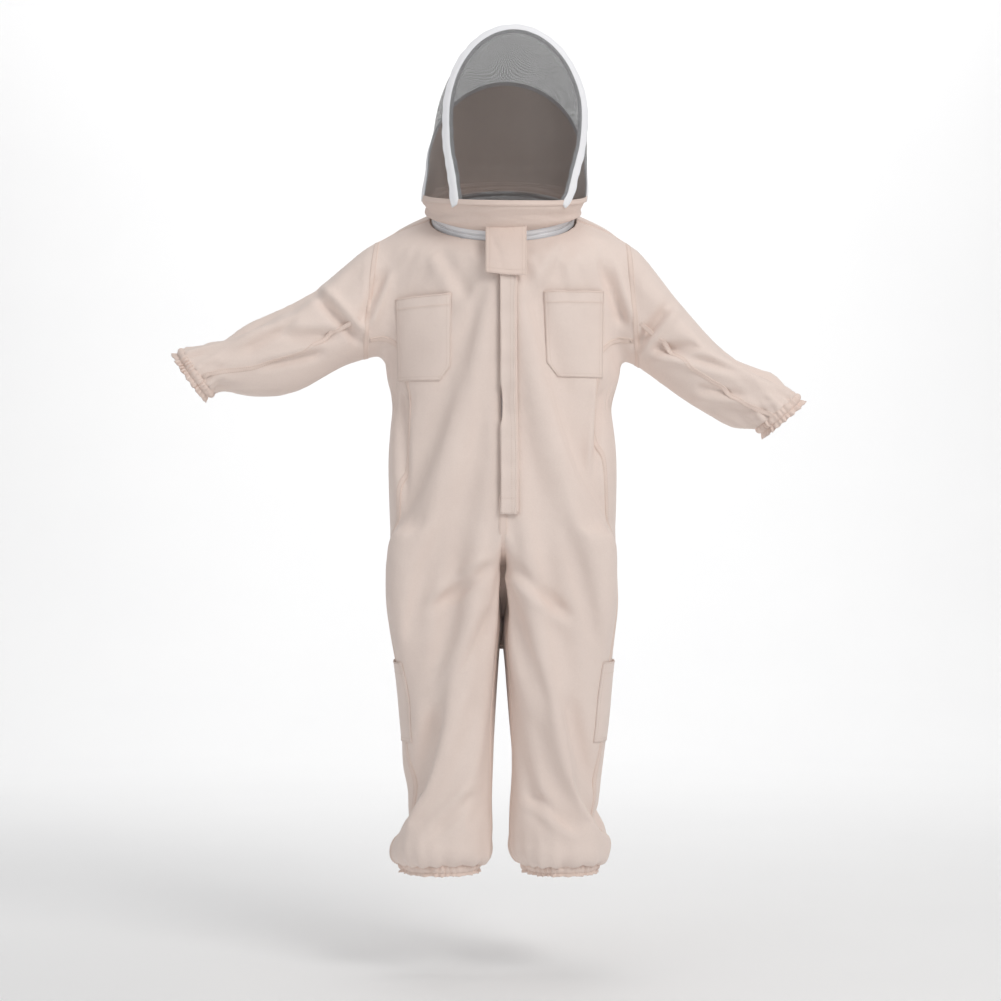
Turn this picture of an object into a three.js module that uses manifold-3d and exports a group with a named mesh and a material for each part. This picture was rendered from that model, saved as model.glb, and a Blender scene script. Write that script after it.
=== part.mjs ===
// Beekeeping suit: a one-piece cotton coverall with a domed veil hood that zips to the neck.
// Millimetres, +Z up. -Y is the wearer's front and +X is the wearer's left.
// The origin is the centre of the neck zip ring, which leans so that its front is low.
import * as THREE from "three";
import { mergeVertices } from "three/addons/utils/BufferGeometryUtils.js";
import Module from "manifold-3d";

const wasm = await Module();
wasm.setup();

// Walls and clearances
const clothWall = 2.4;
const meshWall = 1.6;
const hemmedWall = clothWall + 0.6;
const hemProud = 0.6;
const seamGap = 0.3;
const runningGap = 0.5;
const far = 2000;

// Neck ring
const neckRadius = 136;
const neckLean = THREE.MathUtils.degToRad(23);
const tapeHeight = 8;
const tapeWall = 1.4;
const teethHeight = 2.2;
const teethDepth = 2;

// Coverall body
const shoulderHalfWidth = 242;
const chestHalfWidth = 232;
const waistHalfWidth = 221;
const hipHalfWidth = 238;
const frontDepth = 150;
const backDepth = 150;
const armholeTopZ = -50;
const armpitZ = -265;
const waistZ = -361;
const waistElasticHalf = 16;
const hipZ = -556;
const crotchZ = -663;
const sideSeamY = 0;

// Legs
const hemZ = -1280;
const ankleHemHeight = 24;
const legGap = 3;
const hipPivotY = -2;
const hipPivotZ = -505;
const hipRadius = 172;

// Arms
const shoulderPivotX = 172;
const shoulderPivotZ = -95;
const shoulderRadius = 198;
const armholeHalfDepth = 95;
const cuffHalfDepth = 52;
const cuffForward = 95;
const cuffHemLength = 22;
const elasticWidth = 14;
const elasticWall = 2;

// Front zip and placket
const zipTopZ = -118;
const zipBottomZ = -550;
const zipSlotHalf = 8;
const zipTapeHalf = 18;
const sliderHeight = 14;
const sliderDepth = 2.8;
const pullDepth = 2;
const placketTopZ = -119;
const placketBottomZ = -560;
const placketFreeX = -11;
const placketSewnX = 22;
const placketWall = 2.2;

// Chest and leg pockets
const pocketInnerX = 101;
const pocketOuterX = 208;
const pocketTopZ = -152;
const pocketBottomZ = -322;
const pocketChamfer = 26;
const pocketBulge = 8;
const toolPocketTopZ = -866;
const toolPocketBottomZ = -1026;
const toolPocketHalfAngle = 0.55;

// Hood
const hoodCentreY = -20;
const hoodHalfWidth = 157;
const hoodHalfDepth = 165;
const domeCentreZ = 131;
const domeHeight = 230;
const frontHoopLean = THREE.MathUtils.degToRad(12.7);
const frontHoopY = -119;
const frontHoopZ = 29;
const frontBindingWidth = 18;
const rearHoopLean = THREE.MathUtils.degToRad(30.2);
const rearHoopY = 0;
const rearHoopZ = 50;
const rearBindingWidth = 14;
const bindingProud = 1.2;
const hoopRadius = 1.8;

// Neck flap
const flapLeftX = -35;
const flapRightX = 45;
const flapBottomZ = -114;
const flapWall = 3;
const hookWall = 1.3;

const material = (color, roughness, metalness = 0) =>
  new THREE.MeshStandardMaterial({ color, roughness, metalness });
const cotton = material(0xdccdc3, 0.92);
const veil = material(0x151515, 0.8);
const whiteTape = material(0xeeeef0, 0.7);
const elastic = material(0xf2f0ea, 0.8);
const nylon = material(0xe6e6e6, 0.45);
const nickel = material(0xb9bcc0, 0.3, 1);
const spring = material(0x8f9296, 0.35, 1);

const suit = new THREE.Group();

// ---- Solids ----

const sub = (a, b) => [a[0] - b[0], a[1] - b[1], a[2] - b[2]];
const cross = (a, b) => [
  a[1] * b[2] - a[2] * b[1],
  a[2] * b[0] - a[0] * b[2],
  a[0] * b[1] - a[1] * b[0],
];
const unit = (a) => {
  const length = Math.hypot(...a) || 1;
  return a.map((value) => value / length);
};

function solidOf(geometry) {
  const bare = geometry.index ? geometry.toNonIndexed() : geometry.clone();
  bare.deleteAttribute("normal");
  bare.deleteAttribute("uv");
  const merged = mergeVertices(bare, 1e-4);
  const made = new wasm.Manifold(
    new wasm.Mesh({
      numProp: 3,
      vertProperties: merged.attributes.position.array,
      triVerts: new Uint32Array(merged.index.array),
    }),
  );
  return made;
}

function geometryOf(solid) {
  const mesh = solid.getMesh();
  const count = mesh.numProp;
  const places = new Float32Array(mesh.numVert * 3);
  for (let i = 0; i < mesh.numVert; i++) {
    places.set(mesh.vertProperties.subarray(i * count, i * count + 3), i * 3);
  }
  const geometry = new THREE.BufferGeometry();
  geometry.setAttribute("position", new THREE.BufferAttribute(places, 3));
  geometry.setIndex(new THREE.BufferAttribute(mesh.triVerts, 1));
  geometry.computeVertexNormals();
  return geometry;
}

const largest = (solid) =>
  solid.decompose().sort((a, b) => b.volume() - a.volume())[0];

function add(name, solid, look, parent = suit) {
  const geometry = solid.isBufferGeometry ? solid : geometryOf(largest(solid));
  const mesh = new THREE.Mesh(geometry, look);
  mesh.name = name;
  parent.add(mesh);
  return mesh;
}

// A box between two corners.
function block(low, high) {
  const geometry = new THREE.BoxGeometry(
    high[0] - low[0],
    high[1] - low[1],
    high[2] - low[2],
  );
  geometry.translate(
    (low[0] + high[0]) / 2,
    (low[1] + high[1]) / 2,
    (low[2] + high[2]) / 2,
  );
  return solidOf(geometry);
}

// A drum of the given radius about an axis along X or Y.
function drum(axis, centre, radius) {
  const geometry = new THREE.CylinderGeometry(radius, radius, far, 96);
  if (axis === "x") {
    geometry.rotateZ(Math.PI / 2);
  }
  geometry.translate(...centre);
  return solidOf(geometry);
}

// A slab between two distances along a normal that leans back from +Y by an angle about X.
function leaningSlab(lean, origin, from, to) {
  const geometry = new THREE.BoxGeometry(far, to - from, far);
  geometry.translate(0, (from + to) / 2, 0);
  geometry.rotateX(-lean);
  geometry.translate(...origin);
  return solidOf(geometry);
}

// A closed mesh from rows of points: each row is a loop, and the ends close as asked.
function meshFromRows(points, faces) {
  const geometry = new THREE.BufferGeometry();
  geometry.setAttribute(
    "position",
    new THREE.BufferAttribute(new Float32Array(points.flat()), 3),
  );
  geometry.setIndex(faces);
  return solidOf(geometry);
}

// Smooth interpolation along a list of rows of numbers, at a place counted in rows.
function along(rows, place) {
  const last = rows.length - 1;
  const at = Math.min(Math.max(place, 0), last);
  const i = Math.min(Math.floor(at), last - 1);
  const f = at - i;
  const pick = (k) => rows[Math.min(Math.max(k, 0), last)];
  return rows[i].map((value, j) => {
    const before = pick(i - 1)[j];
    const here = value;
    const next = pick(i + 1)[j];
    const after = pick(i + 2)[j];
    const slopeIn = (next - before) / 2;
    const slopeOut = (after - here) / 2;
    const f2 = f * f;
    const f3 = f2 * f;
    return (
      here * (2 * f3 - 3 * f2 + 1) +
      slopeIn * (f3 - 2 * f2 + f) +
      next * (3 * f2 - 2 * f3) +
      slopeOut * (f3 - f2)
    );
  });
}

// A tubular surface: at(angle, place) gives a point, and offset moves it along the normal.
class Surface {
  constructor(at, sides) {
    this.at = at;
    this.sides = sides;
  }

  point(angle, place, offset = 0) {
    const p = this.at(angle, place);
    if (!offset) {
      return p;
    }
    const around = sub(this.at(angle + 0.02, place), this.at(angle - 0.02, place));
    const up = sub(this.at(angle, place + 0.02), this.at(angle, place - 0.02));
    const n = unit(cross(around, up));
    return p.map((value, i) => value + n[i] * offset);
  }

  ring(place, offset) {
    const ring = [];
    for (let i = 0; i < this.sides; i++) {
      ring.push(this.point((2 * Math.PI * i) / this.sides, place, offset));
    }
    return ring;
  }

  places(from, to, steps) {
    const list = [];
    for (let i = 0; i <= steps; i++) {
      list.push(from + ((to - from) * i) / steps);
    }
    return list;
  }

  // A thin wall between two offsets, open at both ends.
  wall(from, to, steps, outer, inner) {
    const places = this.places(from, to, steps);
    const rings = [
      ...places.map((place) => this.ring(place, outer)),
      ...places.reverse().map((place) => this.ring(place, inner)),
    ];
    return this.close(rings, true);
  }

  // A filled body with flat ends.
  core(from, to, steps, offset) {
    const places = this.places(from, to, steps);
    return this.close(
      places.map((place) => this.ring(place, offset)),
      false,
    );
  }

  close(rings, looped) {
    const n = this.sides;
    const points = rings.flat();
    const faces = [];
    const count = looped ? rings.length : rings.length - 1;
    for (let r = 0; r < count; r++) {
      const low = r * n;
      const high = ((r + 1) % rings.length) * n;
      for (let i = 0; i < n; i++) {
        const j = (i + 1) % n;
        faces.push(low + i, low + j, high + j, low + i, high + j, high + i);
      }
    }
    if (!looped) {
      const mean = (ring) =>
        [0, 1, 2].map((k) => ring.reduce((sum, p) => sum + p[k], 0) / n);
      const bottom = points.push(mean(rings[0])) - 1;
      const top = points.push(mean(rings[rings.length - 1])) - 1;
      const last = (rings.length - 1) * n;
      for (let i = 0; i < n; i++) {
        const j = (i + 1) % n;
        faces.push(bottom, j, i, top, last + i, last + j);
      }
    }
    return meshFromRows(points, faces);
  }
}

// A thin patch over a surface: place(u, v, offset) gives points, lift(u, v) its inner offset.
function patch(place, across, down, lift, wall) {
  const points = [];
  const layer = (extra) => {
    for (let j = 0; j <= down; j++) {
      for (let i = 0; i <= across; i++) {
        const u = i / across;
        const v = j / down;
        points.push(place(u, v, lift(u, v) + extra));
      }
    }
  };
  layer(wall);
  layer(0);
  const row = across + 1;
  const inner = row * (down + 1);
  const faces = [];
  const quad = (a, b, c, d) => faces.push(a, b, c, a, c, d);
  for (let j = 0; j < down; j++) {
    for (let i = 0; i < across; i++) {
      const a = j * row + i;
      quad(a, a + 1, a + row + 1, a + row);
      quad(inner + a, inner + a + row, inner + a + row + 1, inner + a + 1);
    }
  }
  for (let i = 0; i < across; i++) {
    const end = down * row + i;
    quad(i + 1, i, inner + i, inner + i + 1);
    quad(end, end + 1, inner + end + 1, inner + end);
  }
  for (let j = 0; j < down; j++) {
    const left = j * row;
    const right = j * row + across;
    quad(left, left + row, inner + left + row, inner + left);
    quad(right + row, right, inner + right, inner + right + row);
  }
  const made = meshFromRows(points, faces);
  return made.volume() > 0
    ? made
    : meshFromRows(points, faces.slice().reverse());
}

// ---- Garment surfaces ----

const squareness = 2.5;
const power = (value, exponent) =>
  Math.sign(value) * Math.abs(value) ** exponent;

// One loop of the garment: side, front and back heights, half width, front and back depths.
function loopPoint(row, angle, exponent) {
  const [zSide, zFront, zBack, half, front, back] = row;
  const c = power(Math.cos(angle), 2 / exponent);
  const s = power(Math.sin(angle), 2 / exponent);
  const linear = (zBack - zFront) / 2;
  const bend = (zBack + zFront) / 2 - zSide;
  return [
    half * c,
    (front + back) / 2 + ((back - front) / 2) * s,
    zSide + linear * s + bend * s * s,
  ];
}

// The neck ring as a loop, moved along the ring's axis.
function neckLoop(height) {
  const y = -height * Math.sin(neckLean);
  const z = height * Math.cos(neckLean);
  const reach = neckRadius * Math.cos(neckLean);
  const rise = neckRadius * Math.sin(neckLean);
  return [z, z - rise, z + rise, neckRadius, y - reach, y + reach];
}

const level = (z, half, front, back) => [z, z, z, half, front, back];

// Coverall body, from the bottom edge up to the neck.
const bodyRows = [
  level(crotchZ - 32, hipHalfWidth - 4, -frontDepth, backDepth - 2),
  level((crotchZ + hipZ) / 2, hipHalfWidth - 1, -frontDepth, backDepth),
  level(hipZ, hipHalfWidth, -frontDepth, backDepth),
  level(
    (hipZ + waistZ) / 2,
    (hipHalfWidth + waistHalfWidth) / 2 + 5,
    -frontDepth,
    backDepth - 8,
  ),
  level(waistZ, waistHalfWidth, -frontDepth, backDepth - 20),
  level(waistZ + 36, chestHalfWidth - 2, -frontDepth, backDepth - 6),
  level(armpitZ, chestHalfWidth, -frontDepth, backDepth),
  [
    armpitZ + 105,
    armpitZ + 100,
    armpitZ + 115,
    shoulderHalfWidth - 2,
    -frontDepth,
    backDepth + 2,
  ],
  [
    armholeTopZ - 35,
    armholeTopZ - 66,
    armholeTopZ - 10,
    shoulderHalfWidth + 1,
    -frontDepth,
    backDepth + 2,
  ],
  [
    armholeTopZ + 12,
    armholeTopZ - 42,
    armholeTopZ + 40,
    shoulderHalfWidth - 16,
    -frontDepth + 3,
    backDepth - 1,
  ],
  [
    armholeTopZ + 34,
    armholeTopZ - 26,
    armholeTopZ + 72,
    neckRadius + 36,
    -frontDepth + 13,
    backDepth - 9,
  ],
  neckLoop(-tapeHeight - seamGap),
];
const bodyTop = bodyRows.length - 1;
const waistPlace = 4;
const body = new Surface(
  (angle, place) => {
    const nearNeck = Math.max(0, place - bodyTop + 2) / 2;
    return loopPoint(along(bodyRows, place), angle, squareness - 0.5 * nearNeck);
  },
  36,
);

// Where the body's front surface meets a given x and z.
function bodyPlace(x, z) {
  let low = 0;
  let high = bodyTop;
  let angle = -Math.PI / 2;
  for (let i = 0; i < 30; i++) {
    const place = (low + high) / 2;
    const half = along(bodyRows, place)[3];
    const c = Math.min(Math.abs(x) / half, 1);
    const turn = Math.acos(Math.min(c ** (squareness / 2), 1));
    angle = x < 0 ? Math.PI + turn : -turn;
    if (body.at(angle, place)[2] > z) {
      high = place;
    } else {
      low = place;
    }
  }
  return [angle, (low + high) / 2];
}

// A leg, from its hem up into the body: height, inner and outer x, front and back y.
const legRows = [
  [hemZ - 6, 50, 188, -84, 90],
  [hemZ + 24, 38, 199, -98, 104],
  [hemZ + 62, 26, 214, -110, 117],
  [hemZ + 120, 24, 205, -110, 114],
  [hemZ + 220, 21, 198, -110, 112],
  [-946, 14, 206, -116, 116],
  [-842, 7, 216, -126, 126],
  [-751, legGap + 1, 229, -139, 137],
  [crotchZ, legGap, hipHalfWidth - 4, -frontDepth + 1, backDepth - 3],
  [crotchZ + 70, legGap, hipHalfWidth - 1, -frontDepth, backDepth],
  [crotchZ + 140, legGap, hipHalfWidth - 1, -frontDepth, backDepth],
];
const legTop = legRows.length - 1;
const legSquareness = 2.8;

function legSurface(side) {
  return new Surface((angle, place) => {
    const [z, inner, outer, front, back] = along(legRows, place);
    const c = power(Math.cos(angle), 2 / legSquareness);
    const s = power(Math.sin(angle), 2 / legSquareness);
    const x = side * ((inner + outer) / 2) + ((outer - inner) / 2) * c;
    return [x, (front + back) / 2 + ((back - front) / 2) * s, z];
  }, 24);
}

// A sleeve, from inside the body to the cuff: top x and z, underside x and z.
const rightSleeveRows = [
  [195, armholeTopZ + 4, 205, armpitZ + 15],
  [250, armholeTopZ, 256, armpitZ + 3],
  [310, -99, 280, armpitZ - 7],
  [369, -144, 325, -292],
  [452, -181, 410, -341],
  [500, -205, 482, -350],
  [530, -240, 535, -340],
  [590, -258, 555, -350],
  [634, -276, 571, -363],
];
const leftSleeveRows = [
  [195, armholeTopZ + 4, 200, armpitZ + 12],
  [245, armholeTopZ - 4, 240, armpitZ - 6],
  [302, -108, 262, armpitZ - 18],
  [353, -168, 300, -305],
  [433, -243, 360, -354],
  [507, -285, 425, -402],
  [538, -314, 455, -412],
  [560, -345, 486, -416],
  [571, -374, 511, -423],
];
const cuffPlace = leftSleeveRows.length - 1;

function sleeveSurface(side) {
  const rows = side > 0 ? leftSleeveRows : rightSleeveRows;
  return new Surface((angle, place) => {
    const [topX, topZ, lowX, lowZ] = along(rows, place);
    const way = Math.min(Math.max(place / cuffPlace, 0), 1);
    const y = -cuffForward * way ** 1.4;
    const depth = armholeHalfDepth + (cuffHalfDepth - armholeHalfDepth) * way;
    const c = Math.cos(angle);
    const s = Math.sin(angle);
    const x = side * ((topX + lowX) / 2 + ((topX - lowX) / 2) * c);
    const z = (topZ + lowZ) / 2 + ((topZ - lowZ) / 2) * c;
    return [x, y - side * depth * s, z];
  }, 20);
}

// ---- Coverall body ----

const bodySteps = bodyTop;
const bodyWall = body.wall(0, bodyTop, bodySteps, 0, -clothWall);
const bodyCore = body.core(0, bodyTop, bodySteps, seamGap);
const hipFloor = drum("x", [0, hipPivotY, hipPivotZ], hipRadius - seamGap).add(
  block([-far, -far, hipPivotZ], [far, far, far]),
);
const zipSlot = block(
  [-zipSlotHalf, -far, zipBottomZ - 6],
  [zipSlotHalf, 0, zipTopZ + 6],
);
const sleeveCores = [-1, 1].map((side) =>
  sleeveSurface(side).core(0, 3, 3, seamGap),
);

function bodyPanel(name, sideX, front) {
  const half = seamGap / 2;
  const quarter = block(
    [sideX > 0 ? half : -far, front ? -far : sideSeamY + half, -far],
    [sideX > 0 ? far : -half, front ? sideSeamY - half : far, far],
  );
  let panel = bodyWall.intersect(quarter).intersect(hipFloor);
  for (const core of sleeveCores) {
    panel = panel.subtract(core);
  }
  if (front) {
    panel = panel.subtract(zipSlot);
  }
  add(name, panel, cotton);
}

bodyPanel("front_panel_left", 1, true);
bodyPanel("front_panel_right", -1, true);
bodyPanel("back_panel_left", 1, false);
bodyPanel("back_panel_right", -1, false);

// Elastic inside the waist, from side seam to side seam round the back.
const waistBandOut = -clothWall - runningGap;
const waistBandFront = sideSeamY - 60;
const waistBand = body
  .wall(waistPlace - 1, waistPlace + 1, 2, waistBandOut, waistBandOut - elasticWall)
  .intersect(
    block(
      [-far, waistBandFront, waistZ - waistElasticHalf],
      [far, far, waistZ + waistElasticHalf],
    ),
  );
add("waist_elastic", waistBand, elastic);

// ---- Chest pockets ----

function chestPocket(name, side) {
  const place = (u, v, offset) => {
    const z = pocketTopZ + (pocketBottomZ - pocketTopZ) * v;
    const cut = Math.max(0, pocketBottomZ + pocketChamfer - z);
    const inner = pocketInnerX + cut * 0.8;
    const x = side * (inner + (pocketOuterX - inner) * u);
    return body.point(...bodyPlace(x, z), offset);
  };
  const lift = (u, v) => {
    const edge = 1 - (2 * u - 1) ** 4;
    return pocketBulge * edge * (1 - v) ** 0.7 - 1;
  };
  let pocket = patch(place, 6, 6, lift, hemmedWall).subtract(bodyCore);
  for (const core of sleeveCores) {
    pocket = pocket.subtract(core);
  }
  add(name, pocket, cotton);
}
chestPocket("chest_pocket_left", 1);
chestPocket("chest_pocket_right", -1);

// ---- Sleeves ----

for (const side of [1, -1]) {
  const hand = side > 0 ? "left" : "right";
  const surface = sleeveSurface(side);
  const rows = side > 0 ? leftSleeveRows : rightSleeveRows;
  const [topX, topZ, lowX, lowZ] = rows[cuffPlace];
  const axis = [side * (topZ - lowZ), 0, -(topX - lowX)];
  const outward = unit(axis[0] * side > 0 ? axis : axis.map((v) => -v));
  const middle = [(side * (topX + lowX)) / 2, 0, (topZ + lowZ) / 2];
  const endSlab = (from, to) => {
    const geometry = new THREE.BoxGeometry(to - from, far, 400);
    geometry.translate((from + to) / 2, 0, 0);
    geometry.rotateY(-Math.atan2(outward[2], outward[0]));
    geometry.translate(...middle);
    return solidOf(geometry);
  };
  const pivotDrum = (gap) =>
    drum("y", [side * shoulderPivotX, 0, shoulderPivotZ], shoulderRadius + gap);
  const wall = surface.wall(0, cuffPlace, cuffPlace, 0, -clothWall);
  const head = wall.intersect(pivotDrum(-seamGap)).subtract(bodyCore);
  add("sleeve_head_" + hand, head, cotton);
  const sleeve = wall
    .subtract(pivotDrum(seamGap))
    .subtract(endSlab(-cuffHemLength - seamGap, 300));
  add("sleeve_" + hand, sleeve, cotton);
  const hemWall = surface.wall(cuffPlace - 1, cuffPlace, 1, hemProud, -hemmedWall);
  const hem = hemWall.intersect(endSlab(-cuffHemLength, -4));
  add("cuff_hem_" + hand, hem, cotton);
  const inside = -hemmedWall - 2 * seamGap;
  const band = surface
    .wall(cuffPlace - 1, cuffPlace, 1, inside, inside - elasticWall)
    .subtract(surface.wall(cuffPlace - 1, cuffPlace, 1, hemProud, inside + 0.2))
    .intersect(endSlab(-cuffHemLength + 2, -cuffHemLength + 2 + elasticWidth));
  add("cuff_elastic_" + hand, band, elastic);
}

// ---- Legs ----

for (const side of [1, -1]) {
  const hand = side > 0 ? "left" : "right";
  const surface = legSurface(side);
  const wall = surface
    .wall(0, legTop, legTop, 0, -clothWall)
    .subtract(drum("x", [0, hipPivotY, hipPivotZ], hipRadius + seamGap));
  const hemTop = hemZ + ankleHemHeight;
  const half = seamGap / 2;
  const above = hemTop + seamGap;
  add(
    "leg_front_" + hand,
    wall.intersect(block([-far, -far, above], [far, sideSeamY - half, hipPivotZ])),
    cotton,
  );
  add(
    "leg_back_" + hand,
    wall.intersect(block([-far, sideSeamY + half, above], [far, far, hipPivotZ])),
    cotton,
  );
  const hem = surface
    .wall(0, 1, 1, hemProud, -hemmedWall)
    .intersect(block([-far, -far, hemZ], [far, far, hemTop]));
  add("ankle_hem_" + hand, hem, cotton);
  const inside = -hemmedWall - 2 * seamGap;
  const band = surface
    .wall(0, 1, 1, inside, inside - elasticWall)
    .intersect(block([-far, -far, hemZ + 4], [far, far, hemZ + 4 + elasticWidth]));
  add("ankle_elastic_" + hand, band, elastic);

  const core = surface.core(0, legTop, legTop, seamGap);
  const outerAngle = side > 0 ? 0 : Math.PI;
  const legPlace = (z) => {
    let low = 0;
    let high = legTop;
    for (let i = 0; i < 30; i++) {
      const place = (low + high) / 2;
      if (surface.at(0, place)[2] > z) {
        high = place;
      } else {
        low = place;
      }
    }
    return (low + high) / 2;
  };
  const place = (u, v, offset) => {
    const z = toolPocketTopZ + (toolPocketBottomZ - toolPocketTopZ) * v;
    const angle = outerAngle + toolPocketHalfAngle * (2 * u - 1);
    return surface.point(angle, legPlace(z), offset);
  };
  const lift = (u, v) => {
    const edge = 1 - (2 * u - 1) ** 4;
    return pocketBulge * edge * (1 - v) ** 0.7 - 1;
  };
  const pocket = patch(place, 6, 5, lift, hemmedWall).subtract(core);
  add("tool_pocket_" + hand, pocket, cotton);
}

// ---- Front zip and placket ----

// A vertical strip with the given outline in x and y.
function strip(outline, lowZ, highZ) {
  const shape = new THREE.Shape(outline.map(([x, y]) => new THREE.Vector2(x, y)));
  const geometry = new THREE.ExtrudeGeometry(shape, {
    depth: highZ - lowZ,
    bevelEnabled: false,
  });
  geometry.translate(0, 0, lowZ);
  return solidOf(geometry);
}

const tapeFrontY = -frontDepth + clothWall + seamGap + 0.3;
const teethFrontY = -frontDepth - 0.4;
const teethHalf = 3;
for (const side of [1, -1]) {
  const outline = [
    [side * 0.2, tapeFrontY + tapeWall],
    [side * 0.2, teethFrontY],
    [side * teethHalf, teethFrontY],
    [side * teethHalf, tapeFrontY],
    [side * zipTapeHalf, tapeFrontY],
    [side * zipTapeHalf, tapeFrontY + tapeWall],
  ];
  const name = "front_zip_tape_" + (side > 0 ? "left" : "right");
  add(name, strip(outline, zipBottomZ, zipTopZ), nylon);
}
const stopFrontY = teethFrontY - runningGap;
const stop = block(
  [-4, stopFrontY - 1.2, zipBottomZ + 1],
  [4, stopFrontY, zipBottomZ + 5],
);
add("front_zip_stop", stop, nickel);

const sliderBackY = teethFrontY - runningGap;
const sliderTopZ = zipTopZ - 2;
const sliderOutline = new THREE.Shape([
  new THREE.Vector2(-5.5, 0),
  new THREE.Vector2(5.5, 0),
  new THREE.Vector2(6.2, -5),
  new THREE.Vector2(3.6, -sliderHeight),
  new THREE.Vector2(-3.6, -sliderHeight),
  new THREE.Vector2(-6.2, -5),
]);
const sliderShape = new THREE.ExtrudeGeometry(sliderOutline, {
  depth: sliderDepth,
  bevelEnabled: false,
});
sliderShape.rotateX(Math.PI / 2);

// A flat pull tab with an eye at its top end, hanging in the X-Z plane and facing -Y.
function pullTab(length, halfWidth) {
  const shape = new THREE.Shape();
  shape.moveTo(-halfWidth * 0.7, 0);
  shape.absarc(0, -length + halfWidth, halfWidth, Math.PI, 2 * Math.PI, false);
  shape.lineTo(halfWidth * 0.7, 0);
  shape.closePath();
  const eye = new THREE.Path();
  eye.absarc(0, -length + halfWidth + 1, halfWidth * 0.45, 0, 2 * Math.PI, true);
  shape.holes.push(eye);
  const geometry = new THREE.ExtrudeGeometry(shape, {
    depth: pullDepth,
    bevelEnabled: false,
    curveSegments: 6,
  });
  geometry.rotateX(Math.PI / 2);
  return geometry;
}

const frontSlider = sliderShape.clone();
frontSlider.translate(0, sliderBackY, sliderTopZ);
add("front_zip_slider", solidOf(frontSlider), nickel);
const frontPull = pullTab(30, 4);
frontPull.translate(0, sliderBackY - sliderDepth - runningGap, sliderTopZ - 3);
add("front_zip_pull", solidOf(frontPull), nickel);

const placketBackY = sliderBackY - sliderDepth - pullDepth - 3 * runningGap;
const placketOutline = [
  [placketFreeX, placketBackY],
  [placketFreeX, placketBackY - placketWall],
  [placketSewnX, placketBackY - placketWall],
  [placketSewnX + 8, -frontDepth - seamGap - placketWall],
  [placketSewnX + 8, -frontDepth + 2],
  [placketSewnX + 3, -frontDepth + 2],
  [placketSewnX - 2, placketBackY],
];
const placketStrip = strip(placketOutline, placketBottomZ, placketTopZ);
add("placket", placketStrip.subtract(bodyCore), cotton);

// ---- Neck zip, in the frame of the leaning ring ----

const ring = new THREE.Group();
ring.rotation.x = neckLean;
suit.add(ring);

function ringTape(name, side) {
  const profile = [
    [neckRadius - tapeWall, side * tapeHeight],
    [neckRadius, side * tapeHeight],
    [neckRadius, side * (0.2 + teethHeight)],
    [neckRadius + teethDepth, side * (0.2 + teethHeight)],
    [neckRadius + teethDepth, side * 0.2],
    [neckRadius - tapeWall, side * 0.2],
  ];
  if (side > 0) {
    profile.reverse();
  }
  const points = [...profile, profile[0]].map(([r, z]) => new THREE.Vector2(r, z));
  const geometry = new THREE.LatheGeometry(points, 36);
  geometry.rotateX(Math.PI / 2);
  add(name, solidOf(geometry), whiteTape, ring);
}
ringTape("neck_zip_tape_lower", -1);
ringTape("neck_zip_tape_upper", 1);

const neckSliderAngle = 0.07;
const neckSliderRadius = neckRadius + teethDepth + seamGap;
for (const side of [1, -1]) {
  const hand = side > 0 ? "left" : "right";
  const turn = new THREE.Group();
  turn.rotation.z = side * neckSliderAngle;
  ring.add(turn);
  const slider = new THREE.BoxGeometry(12, sliderDepth, 9);
  slider.translate(0, -neckSliderRadius - sliderDepth / 2, 0);
  add("neck_zip_slider_" + hand, solidOf(slider), nickel, turn);
  const pull = pullTab(11, 3);
  pull.translate(0, -neckSliderRadius - sliderDepth - runningGap, 3);
  add("neck_zip_pull_" + hand, solidOf(pull), nickel, turn);
}

// ---- Hood ----

const domeTurns = [20, 38, 54, 68, 80];
const hoodFrontY = hoodCentreY - hoodHalfDepth;
const hoodBackY = hoodCentreY + hoodHalfDepth;
const bandTopPlace = 2;
const hoodRows = [
  neckLoop(tapeHeight + seamGap),
  [15, -24, 68, 149, hoodFrontY + 26, hoodBackY - 8],
  [33, 3, 78, hoodHalfWidth + 1, hoodFrontY + 3, hoodBackY],
  [80, 60, 105, hoodHalfWidth - 1, hoodFrontY, hoodBackY + 1],
  level(domeCentreZ, hoodHalfWidth, hoodFrontY, hoodBackY),
  ...domeTurns.map((degrees) => {
    const turn = THREE.MathUtils.degToRad(degrees);
    const c = Math.cos(turn);
    return level(
      domeCentreZ + domeHeight * Math.sin(turn),
      hoodHalfWidth * c,
      hoodCentreY - hoodHalfDepth * c,
      hoodCentreY + hoodHalfDepth * c,
    );
  }),
  level(domeCentreZ + domeHeight, 1.2, hoodCentreY - 1.2, hoodCentreY + 1.2),
];
const hoodTop = hoodRows.length - 1;
const hood = new Surface(
  (angle, place) => loopPoint(along(hoodRows, place), angle, 2),
  32,
);

const hoodCore = hood.core(0, hoodTop, 20, seamGap);
const bandWall = hood.wall(0, bandTopPlace + 0.2, 3, 0, -clothWall);
const aboveBand = hood.core(bandTopPlace, bandTopPlace + 1, 2, clothWall);
add("hood_band", bandWall.subtract(aboveBand), cotton);

// A dome shell that closes over the crown.
function dome(outer, inner) {
  const from = bandTopPlace + 0.012;
  const steps = 10;
  return hood
    .core(from, hoodTop, steps, outer)
    .subtract(hood.core(from - 0.5, hoodTop - 0.04, steps, inner));
}

const frontOrigin = [0, hoodCentreY + frontHoopY, frontHoopZ];
const rearOrigin = [0, hoodCentreY + rearHoopY, rearHoopZ];
const halfFront = frontBindingWidth / 2;
const halfRear = rearBindingWidth / 2;
const meshDome = dome(0, -meshWall);
const clothDome = dome(0.4, -clothWall);
const bindingDome = dome(bindingProud, -meshWall - bindingProud);

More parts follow.
